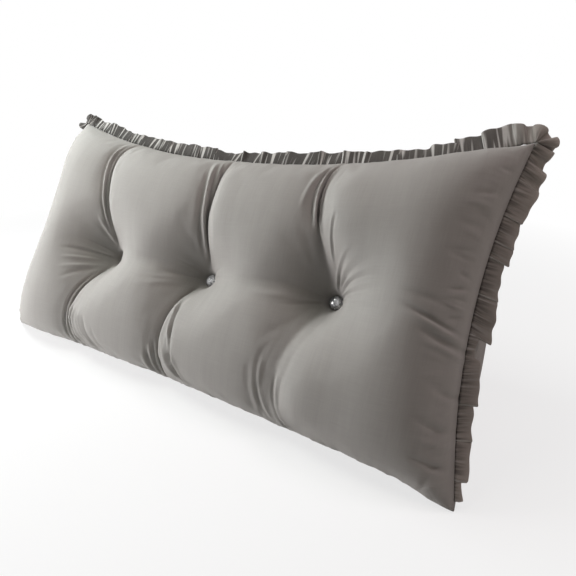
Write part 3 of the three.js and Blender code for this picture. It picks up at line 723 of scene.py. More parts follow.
def values_in(items, field, size):
    """One field of a mesh's points, as a row of numbers with so many for each."""
    values = np.zeros(len(items) * size, np.float32)
    items.foreach_get(field, values)
    return values.astype(float)


def points_of(mesh):
    return values_in(mesh.vertices, "co", 3).reshape(-1, 3)


def normals_of(mesh):
    return values_in(mesh.vertex_normals, "vector", 3).reshape(-1, 3)


def values_of(mesh, name):
    return values_in(mesh.attributes[name].data, "value", 1)


def move_points(mesh, points):
    mesh.vertices.foreach_set("co", points.astype(np.float32).ravel())
    mesh.update()


def set_values(mesh, name, values, kind="FLOAT", place="POINT"):
    """Stores one value, or one vector, for each point or edge."""
    field = "vector" if kind == "FLOAT_VECTOR" else "value"
    mesh.attributes.new(name, kind, place).data.foreach_set(field, values.astype(np.float32).ravel())


def apply_modifiers(obj):
    evaluated = obj.evaluated_get(bpy.context.evaluated_depsgraph_get())
    mesh = bpy.data.meshes.new_from_object(evaluated)
    old = obj.data
    obj.modifiers.clear()
    obj.data = mesh
    bpy.data.meshes.remove(old)


def section_lengths():
    """How far the cover's cloth has run round the wedge at each row, at the middle of its length."""
    line = section_point(np.full(AROUND, STATIONS / 2), np.arange(AROUND))
    steps = lengths(np.diff(line, axis=0, prepend=line[:1]))
    return np.cumsum(steps)


def put_in_order(bm):
    """Sorts edges and faces by their points, because a sphere's come in another order in each run."""
    bm.verts.index_update()
    count = len(bm.verts)

    def order(part):
        first, second, third = (sorted(vertex.index for vertex in part.verts) + [0])[:3]
        return (first * count + second) * count + third

    for parts in (bm.edges, bm.faces):
        parts.sort(key=order)


def cover_grid():
    """A sphere's grid wrapped round the wedge, with its poles at the middles of the two end panels."""
    bm = bmesh.new()
    bmesh.ops.create_uvsphere(bm, u_segments=AROUND, v_segments=RINGS, radius=1)
    put_in_order(bm)
    ball = np.array([vertex.co for vertex in bm.verts], float)
    row = np.round(np.arccos(np.clip(ball[:, 2], -1, 1)) / math.pi * RINGS)
    index = np.round(np.arctan2(ball[:, 1], ball[:, 0]) / math.tau * AROUND) % AROUND
    station = column_station(np.clip(row - END_RINGS, 0, COLUMNS))
    place = section_point(station, index)
    for side, ring in ((-1, row / END_RINGS), (1, (RINGS - row) / END_RINGS)):
        ended = ring < 1
        place[ended] = end_point(side, index[ended], ring[ended])
    place = pulled_to_ear(place)
    for vertex, spot in zip(bm.verts, place):
        vertex.co = spot
    obj = mesh_object("cushion_cover", bm)
    on_end = (row < END_RINGS) | (row > RINGS - END_RINGS)
    on_front = ~on_end & (index <= FRONT_ROWS)
    set_values(obj.data, "front", on_front.astype(float))
    set_values(obj.data, "station", station)
    set_values(obj.data, "w", np.where(index <= FRONT_ROWS, front_w(index), 0))
    around = section_lengths()[index.astype(int)]
    flat = np.stack([place[:, 0], around, 0 * around], 1)
    set_values(obj.data, "cloth", np.where(on_end[:, None], place[:, [1, 2, 0]], flat), "FLOAT_VECTOR")
    seam = np.isin(index, LONG_SEAMS) | np.isin(row, END_SEAMS)
    set_values(obj.data, "seam", seam.astype(float))
    return obj, row, index


def sharpen_seams(obj, row, index):
    """Edges along the sewn seams keep an edge when the cover is subdivided. Each edge also starts at its
    lower-numbered point, so that every run is the same."""
    mesh = obj.data
    ends = np.zeros(len(mesh.edges) * 2, np.int32)
    mesh.edges.foreach_get("vertices", ends)
    ends = np.sort(ends.reshape(-1, 2), 1)
    mesh.edges.foreach_set("vertices", ends.ravel())
    crease = np.zeros(len(ends), np.float32)
    for line in LONG_SEAMS:
        crease[(index[ends] == line).all(1)] = SEAM_SHARPNESS
    for line in END_SEAMS:
        crease[(row[ends] == line).all(1)] = SEAM_SHARPNESS
    set_values(mesh, "crease_edge", crease, place="EDGE")


# Folds

def front_grid(mesh):
    """The front panel's points as a grid of columns by rows, and each one's number in the mesh."""
    front = values_of(mesh, "front") > 0.99
    numbers = np.flatnonzero(front)
    columns = np.arange(COLUMNS + 1)
    rows = np.arange(FRONT_ROWS + 1)
    column = np.interp(values_of(mesh, "station")[front], column_station(columns), columns)
    row = np.interp(values_of(mesh, "w")[front], front_w(rows), rows)
    grid = np.full((2 * COLUMNS + 1, 2 * FRONT_ROWS + 1), -1)
    grid[np.round(2 * column).astype(int), np.round(2 * row).astype(int)] = numbers
    return grid


def grid_place(x, w):
    """Fractional column and row of the places at x and w on the front panel's grid."""
    sides = panel_x(1, np.where(w > 0, lerp(MEAN_LEVEL, 1, w), MEAN_LEVEL * (1 + w)))
    stops = np.stack([-sides, *[crease_x(tuft, w) for tuft in TUFTS], sides])
    before = np.clip((x[None] > stops).sum(0) - 1, 0, STATIONS - 1)
    low = np.take_along_axis(stops, before[None], 0)[0]
    high = np.take_along_axis(stops, before[None] + 1, 0)[0]
    station = before + np.clip((x - low) / (high - low), 0, 1)
    columns = np.arange(2 * COLUMNS + 1) / 2
    rows = np.arange(2 * FRONT_ROWS + 1) / 2
    column = np.interp(station, column_station(columns), np.arange(2 * COLUMNS + 1))
    row = np.interp(w, front_w(rows), np.arange(2 * FRONT_ROWS + 1))
    return column, row


def on_grid(points, column, row):
    """Places between the grid's points."""
    c = np.minimum(column.astype(int), points.shape[0] - 2)
    r = np.minimum(row.astype(int), points.shape[1] - 2)
    a, b = (column - c)[:, None], (row - r)[:, None]
    low = lerp(points[c, r], points[c + 1, r], a)
    high = lerp(points[c, r + 1], points[c + 1, r + 1], a)
    return lerp(low, high, b)


def fold_relief(line, width, lean, fading, places, normals):
    """How strongly each place lies in a fold along a line, from 0 far off to 1 on it."""
    best = np.full(len(places), np.inf)
    relief = np.zeros(len(places))
    steps = len(line) - 1
    for step, (start, end) in enumerate(zip(line[:-1], line[1:])):
        along = end - start
        share = np.clip((places - start) @ along / (along @ along), 0, 1)
        away = places - start - share[:, None] * along
        distance = lengths(away)
        right = (np.cross(along, normals) * away).sum(1) > 0
        side_width = width * np.where(right, 1 + lean, 1 - lean)
        at = (step + share) / steps
        fade = smoothstep(at, 0, fading[0]) * smoothstep(1 - at, 0, fading[1])
        closer = distance < best
        best = np.where(closer, distance, best)
        relief = np.where(closer, np.exp(-(distance / side_width) ** 2) * fade, relief)
    return relief


def press_folds(mesh, folds):
    """Raises ridges and presses troughs into the front panel, along its surface's normals."""
    grid = front_grid(mesh)
    places = points_of(mesh)
    normals = normals_of(mesh)
    points = places[grid]
    moved = np.zeros(len(places))
    for x, w, width, depth, lean, fading in folds:
        column, row = grid_place(x, w)
        line = on_grid(points, column, row)
        margin = FOLD_MARGIN * width * (1 + abs(lean))
        inside = (places > line.min(0) - margin).all(1) & (places < line.max(0) + margin).all(1)
        near = np.intersect1d(np.flatnonzero(inside), grid)
        moved[near] += depth * fold_relief(line, width, lean, fading, places[near], normals[near])
    move_points(mesh, places + normals * moved[:, None])


def curve(first, by, last):
    """Evenly spaced values on a soft curve from the first over the middle one to the last."""
    t = np.linspace(0, 1, FOLD_STEPS)
    turn = 2 * by - (first + last) / 2
    return first * (1 - t) ** 2 + 2 * turn * t * (1 - t) + last * t ** 2


def placed_folds():
    tufts = {tuft["name"]: tuft for tuft in TUFTS}
    for (name, _), rows in CREASE_FOLDS.items():
        for row in rows:
            fold = dict(zip(FOLD, row))
            w = curve(fold["w1"], fold["w2"], fold["w3"])
            x = crease_x(tufts[name], w) + curve(fold["x1"], fold["x2"], fold["x3"]) * MM
            yield x, w, fold["width"] * MM, fold["depth"] * MM, fold["lean"], CREASE_FADING
    for groups, fading in ((PANEL_FOLDS, PANEL_FADING), (BUTTON_RAYS, RAY_FADING)):
        for row in itertools.chain(*groups.values()):
            fold = dict(zip(FOLD, row))
            x = curve(fold["x1"], fold["x2"], fold["x3"]) * MM
            w = curve(fold["w1"], fold["w2"], fold["w3"])
            yield x, w, fold["width"] * MM, fold["depth"] * MM, fold["lean"], fading


def gathered_folds(chance):
    """Small ridges and troughs, at uneven distances, that run into the panel from its seams."""
    def size(kind):
        width = kind["width"] * chance.uniform(*GATHER_WIDTH)
        depth = kind["depth"] * chance.uniform(*GATHER_DEPTH)
        return width, depth, chance.uniform(*GATHER_LEAN), PANEL_FADING

    kind = GATHERS["side"]
    for sign in (-1, 1):
        for q in np.arange(GATHER_CORNER, PANEL_HEIGHT - GATHER_CORNER, kind["apart"]):
            q = q + chance.uniform(*GATHER_SHIFT) * kind["apart"]
            v = q / PANEL_HEIGHT
            w = v / MEAN_LEVEL - 1 if v < MEAN_LEVEL else (v - MEAN_LEVEL) / (1 - MEAN_LEVEL)
            reach = kind["reach"] * chance.uniform(*GATHER_REACH)
            edge = panel_x(1, v) - SIDE_GATHER_START
            turn = chance.uniform(*SIDE_GATHER_TURN)
            x = curve(edge, edge - reach / 2, edge - reach)
            yield (sign * x, curve(w, w + turn / 2, w + turn), *size(kind))
    for name, start, inward in (("top", 1, -1), ("foot", -1, 1)):
        kind = GATHERS[name]
        for x in np.arange(-LONG_GATHER_END, LONG_GATHER_END, kind["apart"]):
            x = x + chance.uniform(*GATHER_SHIFT) * kind["apart"]
            reach = kind["reach"] * chance.uniform(*GATHER_REACH) / (PANEL_HEIGHT / 2) * inward
            turn = chance.uniform(*LONG_GATHER_TURN)
            w = curve(start + LONG_GATHER_START * inward, start + reach / 2, start + reach)
            yield (curve(x, x + turn, x + 2 * turn), w, *size(kind))


def seat_buttons(mesh):
    """Pulls the cover down under each button."""
    places = points_of(mesh)
    for tuft in TUFTS:
        seat = np.array(button_place(tuft)) - SEAT_CLEARANCE * OFF_SLOPE
        away = places - seat
        height = away @ OFF_SLOPE
        radius = lengths(away - height[:, None] * OFF_SLOPE)
        hold = np.exp(-(np.maximum(radius - SEAT_RIM, 0) / SEAT_FLARE) ** 2)
        hold = np.where((height > -SEAT_DEPTH) & (radius < SEAT_REACH), hold, 0)
        places -= (height * hold)[:, None] * OFF_SLOPE
    move_points(mesh, places)


def subdivided(obj):
    finer = obj.modifiers.new("finer", "SUBSURF")
    finer.levels = finer.render_levels = 1
    apply_modifiers(obj)


def blurred_rows(moved, row, index):
    """Movements of the front panel's points, averaged up and down it, because rows that lie close
    together lag behind the others."""
    column = row.astype(int) - END_RINGS
    index = index.astype(int)
    front = (column >= 0) & (column <= COLUMNS) & (index <= FRONT_ROWS)
    grid = np.zeros((COLUMNS + 1, FRONT_ROWS + 1), int)
    grid[column[front], index[front]] = np.flatnonzero(front)
    height = front_w(np.arange(FRONT_ROWS + 1)) * PANEL_HEIGHT / 2
    share = np.exp(-(np.subtract.outer(height, height) / SETTLE_BLUR) ** 2) * np.gradient(height)
    share /= share.sum(1, keepdims=True)
    moved[grid] = np.einsum("ij,cjk->cik", share, moved[grid])
    return moved


def settle(obj, row, index):
    """Lets the front panel's cloth settle over its filling."""
    mesh = obj.data
    shaped = points_of(mesh)
    normals = normals_of(mesh)
    w = values_of(mesh, "w")
    hold = np.maximum(1 - values_of(mesh, "front"), values_of(mesh, "seam"))
    for tuft in TUFTS:
        from_crease = np.abs(shaped[:, 0] - crease_x(tuft, w))
        from_button = lengths(shaped - np.array(button_place(tuft)))
        hold = np.maximum(hold, 1 - smoothstep(from_crease, SETTLE_CREASE, 3 * SETTLE_CREASE))
        hold = np.maximum(hold, 1 - smoothstep(from_button, SETTLE_BUTTON, 2 * SETTLE_BUTTON))
    move_points(mesh, shaped - normals * ((1 - hold) * SETTLE_START)[:, None])
    held = obj.vertex_groups.new(name="held")
    for number, weight in enumerate(hold):
        held.add([number], float(weight), "REPLACE")
    cloth = obj.modifiers.new("settling", "CLOTH")
    cloth.collision_settings.use_collision = False
    cloth.point_cache.frame_start = 1
    cloth.point_cache.frame_end = SETTLE_FRAMES
    settings = cloth.settings
    settings.quality = SETTLE_QUALITY
    settings.mass = SETTLE_MASS
    settings.bending_stiffness = SETTLE_BENDING
    settings.shrink_min = -SETTLE_CLOTH
    settings.use_pressure = True
    settings.uniform_pressure_force = SETTLE_PRESSURE
    settings.vertex_group_mass = held.name
    settings.effector_weights.gravity = 0
    for moment in range(1, SETTLE_FRAMES + 1):
        bpy.context.scene.frame_set(moment)
    apply_modifiers(obj)
    moved = blurred_rows(points_of(obj.data) - shaped, row, index)
    far = np.maximum(lengths(moved), 1e-9)
    moved *= ((1 - hold) * SETTLE_LIMIT * np.tanh(far / SETTLE_LIMIT) / far)[:, None]
    move_points(obj.data, shaped + moved)
    bpy.context.scene.frame_set(1)


def make_cushion():
    obj, row, index = cover_grid()
    sharpen_seams(obj, row, index)
    settle(obj, row, index)
    subdivided(obj)
    seat_buttons(obj.data)
    press_folds(obj.data, placed_folds())
    press_folds(obj.data, gathered_folds(np.random.default_rng(GATHER_SEED)))
    obj.data.shade_smooth()
    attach(obj, "root")
    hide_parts("cushion")
    return obj


# Ruffle

def seam_run():
    """The ruffle's sewn line in small steps, up the left side, over the top and down the right, with a fan
    round each top corner: length so far, places on the seam plane, angles out of the panel, and tilts."""
    start = RUFFLE_FOOT / PANEL_HEIGHT
    v = np.linspace(start, 1, SEAM_STEPS)
    u = np.linspace(-1, 1, 2 * SEAM_STEPS)
    left = np.stack([panel_x(-1, v), PANEL_HEIGHT * v], 1)
    top = np.stack([u * HALF_WIDTH, panel_height(u)], 1)
    right = np.stack([panel_x(1, v[::-1]), PANEL_HEIGHT * v[::-1]], 1)
    runs = ((left, RUFFLE_SIDE_TILT), (top, RUFFLE_TOP_TILT), (right, RUFFLE_SIDE_TILT))
    places, angles, tilts, steps = [], [], [], []
    for number, (line, tilt) in enumerate(runs):
        ahead = np.gradient(line, axis=0)
        angle = np.unwrap(np.arctan2(ahead[:, 0], -ahead[:, 1]))
        if number:
            turn = (angles[-1][-1] - angle[0]) % math.tau
            angle = angle + angles[-1][-1] - turn - angle[0]
            share = np.linspace(0, 1, CORNER_STEPS)
            places.append(np.repeat(line[:1], CORNER_STEPS, 0))
            angles.append(angles[-1][-1] - turn * share)
            tilts.append(lerp(tilts[-1][-1], tilt, share))
            steps.append(np.full(CORNER_STEPS, turn * RUFFLE_WIDTH * CORNER_MEASURE / CORNER_STEPS))
        places.append(line)
        angles.append(angle)
        tilts.append(np.full(len(line), tilt))
        steps.append(np.concatenate([[0], lengths(np.diff(line, axis=0))]))
    along = np.cumsum(np.concatenate(steps))
    return along, np.concatenate(places), np.concatenate(angles), np.concatenate(tilts)


def fitted_pleats(rows, length):
    """A table's pleats, in order, widened or narrowed alike so that they fill their length of seam."""
    pleats = [dict(zip(PLEAT, row)) for row in rows]
    fit = length / sum(pleat["width"] for pleat in pleats)
    return [{**pleat, "width": pleat["width"] * fit} for pleat in pleats]


def mirrored(pleats):
    """The same pleats met from their other end."""
    return [{**pleat, "from": pleat["to"], "to": pleat["from"], "opens": -pleat["opens"],
             "slant": -pleat["slant"]} for pleat in reversed(pleats)]


def cloth_in(pleat):
    return pleat["width"] + 2 * pleat["lap"] + LOOP_CLOTH * pleat["round"] * pleat["depth"]


def pleat_line(pleats):
    """The gathered strip seen from its rim, in even steps of its own cloth: place along the seam without
    laps, how far the laps carry it on or back, how far it stands out, whether it lies on a folded edge
    (a mask for the painted highlight there), and its width, slant and lean."""
    columns = {name: [] for name in ("along", "lap", "rise", "edge", "width", "slant", "lean")}
    start = 0
    for pleat in pleats:
        width, lap, depth, loop = pleat["width"], pleat["lap"], pleat["depth"], pleat["round"]
        steps = max(LEAST_STEPS, round(cloth_in(pleat) / RUFFLE_STEP))
        share = np.arange(steps) / steps
        pressed = width + 2 * lap
        panel_end = (width + lap) / pressed
        forward = share < panel_end
        on_panel = share / panel_end
        on_return = (share - panel_end) / (1 - panel_end)
        along = np.where(forward, (width + lap) * on_panel, width + lap * (1 - on_return))
        rise = depth * np.where(forward, on_panel, 1 - on_return)
        # Mask for a painted highlight along each pressed fold's edge, none on a round loop
        edge = np.exp(-(((share - panel_end) * pressed / FOLD_HIGHLIGHT_WIDTH) ** 2)) * (1 - loop)
        if pleat["opens"] < 0:
            along, rise, edge = (width - along)[::-1], rise[::-1], edge[::-1]
        wave = width * share - LOOP_NECK * lap * np.sin(2 * math.tau * share)
        flat = share * width
        columns["along"].append(start + flat)
        columns["lap"].append(lerp(along, wave, loop) - flat)
        columns["rise"].append(lerp(rise, depth * np.sin(math.tau * share), loop))
        columns["edge"].append(edge)
        columns["width"].append(lerp(pleat["from"], pleat["to"], share))
        columns["slant"].append(np.full(steps, pleat["slant"]))
        columns["lean"].append(np.full(steps, math.radians(pleat["lean"])))
        start += width
    return {name: np.concatenate(parts) for name, parts in columns.items()}


def softened(values, width):
    """Values along the strip, averaged with their neighbours, so that folds are round and not sharp."""
    reach = int(3 * width + 1)
    weights = np.exp(-0.5 * (np.arange(-reach, reach + 1) / width) ** 2)
    padded = np.pad(values, reach, mode="edge")
    return np.convolve(padded, weights / weights.sum(), "valid")


def uneven_wave(place, pitch, drift):
    """A wave along the strip whose pitch drifts to and fro."""
    return np.sin(place / pitch * math.tau + drift["turn"] * np.sin(place / drift["pitch"]))


def ruffle_sheet():
    along, places, angles, tilts = seam_run()
    total = along[-1]
    side = along[SEAM_STEPS - 1]
    fan = along[SEAM_STEPS + CORNER_STEPS - 1] - side
    top = total - 2 * side - 2 * fan
    pleats = (
        fitted_pleats(SIDE_PLEATS, side) + fitted_pleats(LEFT_CORNER_PLEATS, fan)
        + fitted_pleats(TOP_PLEATS, top) + fitted_pleats(RIGHT_CORNER_PLEATS, fan)
        + mirrored(fitted_pleats(SIDE_PLEATS, side))
    )
    line = pleat_line(pleats)
    line["cloth"] = RUFFLE_STEP * np.arange(len(line["along"]))
    for name, width in FOLD_ROUNDNESS.items():
        line[name] = softened(line[name], width)
    columns = len(line["along"]) - 1
    rows = 2 * RUFFLE_ROWS + RUFFLE_RIM_ROWS

    bm = bmesh.new()
    bmesh.ops.create_grid(bm, x_segments=columns, y_segments=rows, size=1)
    grid = np.array([vertex.co for vertex in bm.verts], float)
    column = np.round((grid[:, 0] + 1) / 2 * columns).astype(int)
    row = np.round((grid[:, 1] + 1) / 2 * rows)

    # The front layer runs from the seam to the rim, a half turn goes round it, and the back layer returns
    turn = np.clip((row - RUFFLE_ROWS) / RUFFLE_RIM_ROWS, 0, 1) * math.pi
    across = np.where(row <= RUFFLE_ROWS, row / RUFFLE_ROWS, np.clip((rows - row) / RUFFLE_ROWS, 0, 1))
    spread = lerp(RUFFLE_ROOT_SPREAD, RUFFLE_SPREAD, np.sqrt(across)) * np.cos(turn)
    beyond = RUFFLE_SPREAD * np.sin(turn)

    def middle(column, across):
        lap = line["lap"][column] * lerp(LAP_AT_ROOT, 1, across)
        place = line["along"][column] + lap + line["slant"][column] * across
        wobble = uneven_wave(place, RIM_WOBBLE_PITCH, RIM_WOBBLE_DRIFT)
        width = line["width"][column] + RIM_WOBBLE * wobble
        root = np.stack([np.interp(place, along, places[:, k]) for k in (0, 1)], 1)
        angle = np.interp(place, along, angles)
        tilt = np.interp(place, along, tilts) + line["lean"][column] * across
        outward = np.stack([np.cos(angle), np.sin(angle)], 1)
        root = root + outward * RUFFLE_GAP
        level = outward[:, :1] * ALONG + outward[:, 1:] * UP_SLOPE
        out = level * np.cos(tilt)[:, None] - OFF_SLOPE * np.sin(tilt)[:, None]
        lift = OFF_SLOPE * np.cos(tilt)[:, None] + level * np.sin(tilt)[:, None]
        stand = lerp(PLEAT_ROOT, 1, across ** PLEAT_RISE)
        rise = (line["rise"][column] - PLEAT_SHIFT * np.mean(line["rise"])) * stand
        gather = ROOT_GATHER * uneven_wave(place, ROOT_GATHER_PITCH, ROOT_GATHER_DRIFT)
        rise = rise + gather * np.exp(-across / ROOT_GATHER_REACH)
        spot = on_slope(root[:, 0], root[:, 1]) + out * (width * across)[:, None] + lift * rise[:, None]
        return spot, out

    def side_of(column, across):
        ahead, _ = middle(np.minimum(column + 1, columns), across)
        behind, _ = middle(np.maximum(column - 1, 0), across)
        _, out = middle(column, across)
        normal = np.cross(out, ahead - behind)
        return normal / np.maximum(lengths(normal), 1e-9)[:, None]

    spot, out = middle(column, across)
    spot = spot + side_of(column, across) * -spread[:, None] + out * beyond[:, None]
    spot = pulled_to_ear(spot)
    for vertex, place in zip(bm.verts, spot):
        vertex.co = place
    obj = mesh_object("ruffle_strip", bm)
    # Mask for the painted highlight on the folded edges
    set_values(obj.data, "edge", line["edge"][column])
    # Share of painted light along the ruffle by x, from painted shade along the top to paler down the right
    # side
    painted_light = np.interp(spot[:, 0], *([row[key] for row in RUFFLE_PAINTED_LIGHT_ALONG_X] for key in ("x", "painted_light")))
    set_values(obj.data, "painted_light", painted_light)
    set_values(obj.data, "across", across)
    cloth = np.stack([line["cloth"][column], across * line["width"][column], 0 * across], 1)
    set_values(obj.data, "cloth", cloth, "FLOAT_VECTOR")
    thick = obj.modifiers.new("layer", "SOLIDIFY")
    thick.thickness = RUFFLE_LAYER
    thick.offset = 0
    apply_modifiers(obj)
    rim = np.stack([line["along"] + line["lap"], line["rise"]], 1)
    return obj, float(lengths(np.diff(rim, axis=0)).sum())


def make_ruffle():
    obj, cloth_length = ruffle_sheet()
    obj.data.shade_smooth()
    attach(obj, "root")
    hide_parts("ruffle")
    return obj


# Buttons

def button_place(tuft):
    u = tuft["x"] / panel_x(1, tuft["level"])
    place = on_slope(tuft["x"] + tuft["aside"], panel_height(u) * tuft["level"] - tuft["down"])
    place += (BUTTON_SEAT - tuft["sunk"]) * OFF_SLOPE
    place[1] += FRONT_FOOT_DIP * bow((u + 1) / 2) * (1 - tuft["level"])
    return Vector(place)


def make_button(tuft, turn):
    bm = bmesh.new()
    for ring in BUTTON_RINGS:
        made = bmesh.ops.create_circle(bm, segments=ring["corners"], radius=BUTTON_RADIUS * ring["radius"])
        angle = ring["turn"] * math.tau / ring["corners"] + turn
        bmesh.ops.rotate(bm, verts=made["verts"], cent=(0, 0, 0), matrix=Matrix.Rotation(angle, 3, "Z"))
        bmesh.ops.translate(bm, verts=made["verts"], vec=(0, 0, BUTTON_HEIGHT * ring["height"]))
    bmesh.ops.convex_hull(bm, input=bm.verts)
    facing = Vector(OFF_SLOPE).to_track_quat("Z", "Y").to_matrix().to_4x4()
    bmesh.ops.transform(bm, matrix=Matrix.Translation(button_place(tuft)) @ facing, verts=bm.verts)
    obj = mesh_object("crystal_" + tuft["name"], bm)
    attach(obj, "root")
    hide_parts("button_" + tuft["name"])
    return obj


# Materials

def plain_material(name, colour, roughness):
    material = bpy.data.materials.new(name)
    material.use_nodes = True
    shader = material.node_tree.nodes["Principled BSDF"]
    shader.inputs["Base Color"].default_value = (*colour, 1)
    shader.inputs["Roughness"].default_value = roughness
    return material


def add_node(tree, kind, settings=(), values=(), links=()):
    """A node with its settings, the values of its inputs and the outputs linked to them."""
    node = tree.nodes.new(kind)
    for name, value in dict(settings).items():
        setattr(node, name, value)
    for name, value in dict(values).items():
        node.inputs[name].default_value = value
    for name, output in dict(links).items():
        tree.links.new(output, node.inputs[name])
    return node


def worked_out(tree, operation, *values):
    """What comes of an operation on values, each a number or an output."""
    numbers = {slot: value for slot, value in enumerate(values) if isinstance(value, (int, float))}
    outputs = {slot: value for slot, value in enumerate(values) if slot not in numbers}
    return add_node(tree, "ShaderNodeMath", {"operation": operation}, numbers, outputs).outputs[0]


def ranged(tree, value, low, high, start=0.0, end=1.0):
    """A value that goes from low to high while the given one goes from start to end."""
    limits = {"From Min": start, "From Max": end, "To Min": low, "To Max": high}
    return add_node(tree, "ShaderNodeMapRange", {}, limits, {"Value": value}).outputs["Result"]


def stretched_noise(tree, place, scales, detail):
    """Noise over the cloth that is finer one way than the other."""
    spread = add_node(tree, "ShaderNodeVectorMath", {"operation": "MULTIPLY"}, {1: scales}, {0: place})
    grain = {"Scale": 1.0, "Detail": detail, "Roughness": NOISE_ROUGHNESS}
    return add_node(tree, "ShaderNodeTexNoise", {}, grain, {"Vector": spread.outputs[0]}).outputs["Fac"]


def woven_cotton():
    """Plain-woven cotton: crossed threads, thick and thin places along them, soft mottling and fibres."""
    tree = bpy.data.node_groups.new("woven cotton", "ShaderNodeTree")
    inputs = (
        ("Cloth", "NodeSocketVector", None),
        ("Colour", "NodeSocketColor", (*COVER_COLOUR, 1)),
        ("Threads", "NodeSocketFloat", THREAD_SCALE),
        ("Slubs", "NodeSocketFloat", SLUB_AMOUNT),
        ("Mottling", "NodeSocketFloat", MOTTLING_AMOUNT),
    )
    for name, kind, value in inputs:
        socket = tree.interface.new_socket(name, in_out="INPUT", socket_type=kind)
        if value is not None:
            socket.default_value = value
    outputs = (("Colour", "NodeSocketColor"), ("Roughness", "NodeSocketFloat"), ("Height", "NodeSocketFloat"))
    for name, kind in outputs:
        tree.interface.new_socket(name, in_out="OUTPUT", socket_type=kind)
    given = tree.nodes.new("NodeGroupInput").outputs
    result = tree.nodes.new("NodeGroupOutput").inputs
    threads = []
    for direction in ("X", "Y"):
        wave = add_node(tree, "ShaderNodeTexWave", {"bands_direction": direction}, THREAD_WAVE,
                        {"Vector": given["Cloth"], "Scale": given["Threads"]})
        threads.append(ranged(tree, wave.outputs["Fac"], -1.0, 1.0))
    weave = worked_out(tree, "MULTIPLY", *threads)
    along = stretched_noise(tree, given["Cloth"], **SLUBS_ALONG)
    across = stretched_noise(tree, given["Cloth"], **SLUBS_ACROSS)
    fibres = stretched_noise(tree, given["Cloth"], **FIBRES)
    mottling = stretched_noise(tree, given["Cloth"], **MOTTLING)
    slubs = worked_out(tree, "ADD", along, across)

    def shaded(amount, value, middle):
        """A factor round 1 that follows a value by an amount."""
        off = worked_out(tree, "SUBTRACT", value, middle)
        return worked_out(tree, "ADD", worked_out(tree, "MULTIPLY", off, amount), 1.0)

    factor = worked_out(tree, "MULTIPLY", shaded(given["Slubs"], slubs, 1.0),
                        shaded(given["Mottling"], mottling, 0.5))
    factor = worked_out(tree, "MULTIPLY", factor, ranged(tree, weave, **THREAD_GAPS))
    tinted = add_node(tree, "ShaderNodeVectorMath", {"operation": "SCALE"}, {},
                      {0: given["Colour"], "Scale": factor})
    tree.links.new(tinted.outputs[0], result["Colour"])
    tree.links.new(ranged(tree, fibres, **FIBRE_ROUGHNESS), result["Roughness"])
    height = worked_out(tree, "MULTIPLY_ADD", weave, WEAVE_HEIGHT, slubs)
    height = worked_out(tree, "MULTIPLY_ADD", fibres, FIBRE_HEIGHT, height)
    tree.links.new(height, result["Height"])
    return tree


def attribute_of(tree, name, output="Fac"):
    return add_node(tree, "ShaderNodeAttribute", {"attribute_name": name}).outputs[output]


def mixed(tree, share, low, high):
    """A colour that goes from one to another, each given as a colour or as an output."""
    node = add_node(tree, "ShaderNodeMix", {"data_type": "RGBA"}, {}, {"Factor": share})
    for name, colour in (("A", low), ("B", high)):
        socket = next(item for item in node.inputs if item.name == name and item.type == "RGBA")
        if isinstance(colour, tuple):
            socket.default_value = (*colour, 1)
        else:
            tree.links.new(colour, socket)
    return next(item for item in node.outputs if item.type == "RGBA")


def cotton_material(name, weave, colour_of, bump):
    """Cotton with a soft sheen. Its colour is worked out on the material's own node tree."""
    material = plain_material(name, COVER_COLOUR, COTTON_ROUGHNESS)
    tree = material.node_tree
    shader = tree.nodes["Principled BSDF"]
    shader.inputs["Sheen Weight"].default_value = COTTON_SHEEN
    shader.inputs["Sheen Roughness"].default_value = SHEEN_ROUGHNESS
    shader.inputs["Specular IOR Level"].default_value = COTTON_SHINE
    cloth = add_node(tree, "ShaderNodeGroup", {"node_tree": weave}, {"Threads": THREAD_SCALE},
                     {"Cloth": attribute_of(tree, "cloth", "Vector"), "Colour": colour_of(tree)})
    relief = add_node(tree, "ShaderNodeBump", {}, {"Strength": bump, "Distance": THREAD_RELIEF},
                      {"Height": cloth.outputs["Height"]})
    tree.links.new(cloth.outputs["Colour"], shader.inputs["Base Color"])
    tree.links.new(cloth.outputs["Roughness"], shader.inputs["Roughness"])
    tree.links.new(relief.outputs["Normal"], shader.inputs["Normal"])
    return material


def cover_colour(tree):
    """Darker along the sewn seams."""
    return mixed(tree, ranged(tree, attribute_of(tree, "seam"), 0.0, SEAM_SHADE), COVER_COLOUR, SEAM_COLOUR)


def ruffle_colour(tree):
    """Painted shade and light on the ruffle: darker along the top and paler down its right side by x, with
    painted shade where the strip is gathered into its seam, in streaks that fade towards its rim, and painted
    highlights along its folded edges and in streaks where creases catch the light."""
    painted_light = attribute_of(tree, "painted_light")
    place = attribute_of(tree, "cloth", "Vector")
    cloth = mixed(tree, painted_light, RUFFLE_PAINTED_SHADE_COLOUR, RUFFLE_PAINTED_LIGHT_COLOUR)
    # Painted shade in streaks near the seam, fading towards the rim
    painted_root_shade = ranged(tree, stretched_noise(tree, place, **PAINTED_ROOT_SHADE_NOISE), **PAINTED_ROOT_SHADE_RANGE)
    root = ranged(tree, attribute_of(tree, "across"), **PAINTED_ROOT_SHADE_FADE)
    cloth = mixed(tree, worked_out(tree, "MULTIPLY", painted_root_shade, root), cloth, RUFFLE_PAINTED_SHADE_COLOUR)
    # Painted highlights in streaks, fading on paler cloth
    catch = ranged(tree, stretched_noise(tree, place, **PAINTED_HIGHLIGHT_NOISE), **PAINTED_HIGHLIGHT_RANGE)
    pale = worked_out(tree, "MULTIPLY", catch, ranged(tree, painted_light, **PAINTED_HIGHLIGHT_FADE))
    cloth = mixed(tree, pale, cloth, RUFFLE_PAINTED_HIGHLIGHT_COLOUR)
    # Painted highlight along the folded edges
    return mixed(tree, attribute_of(tree, "edge"), cloth, RUFFLE_PAINTED_HIGHLIGHT_COLOUR)


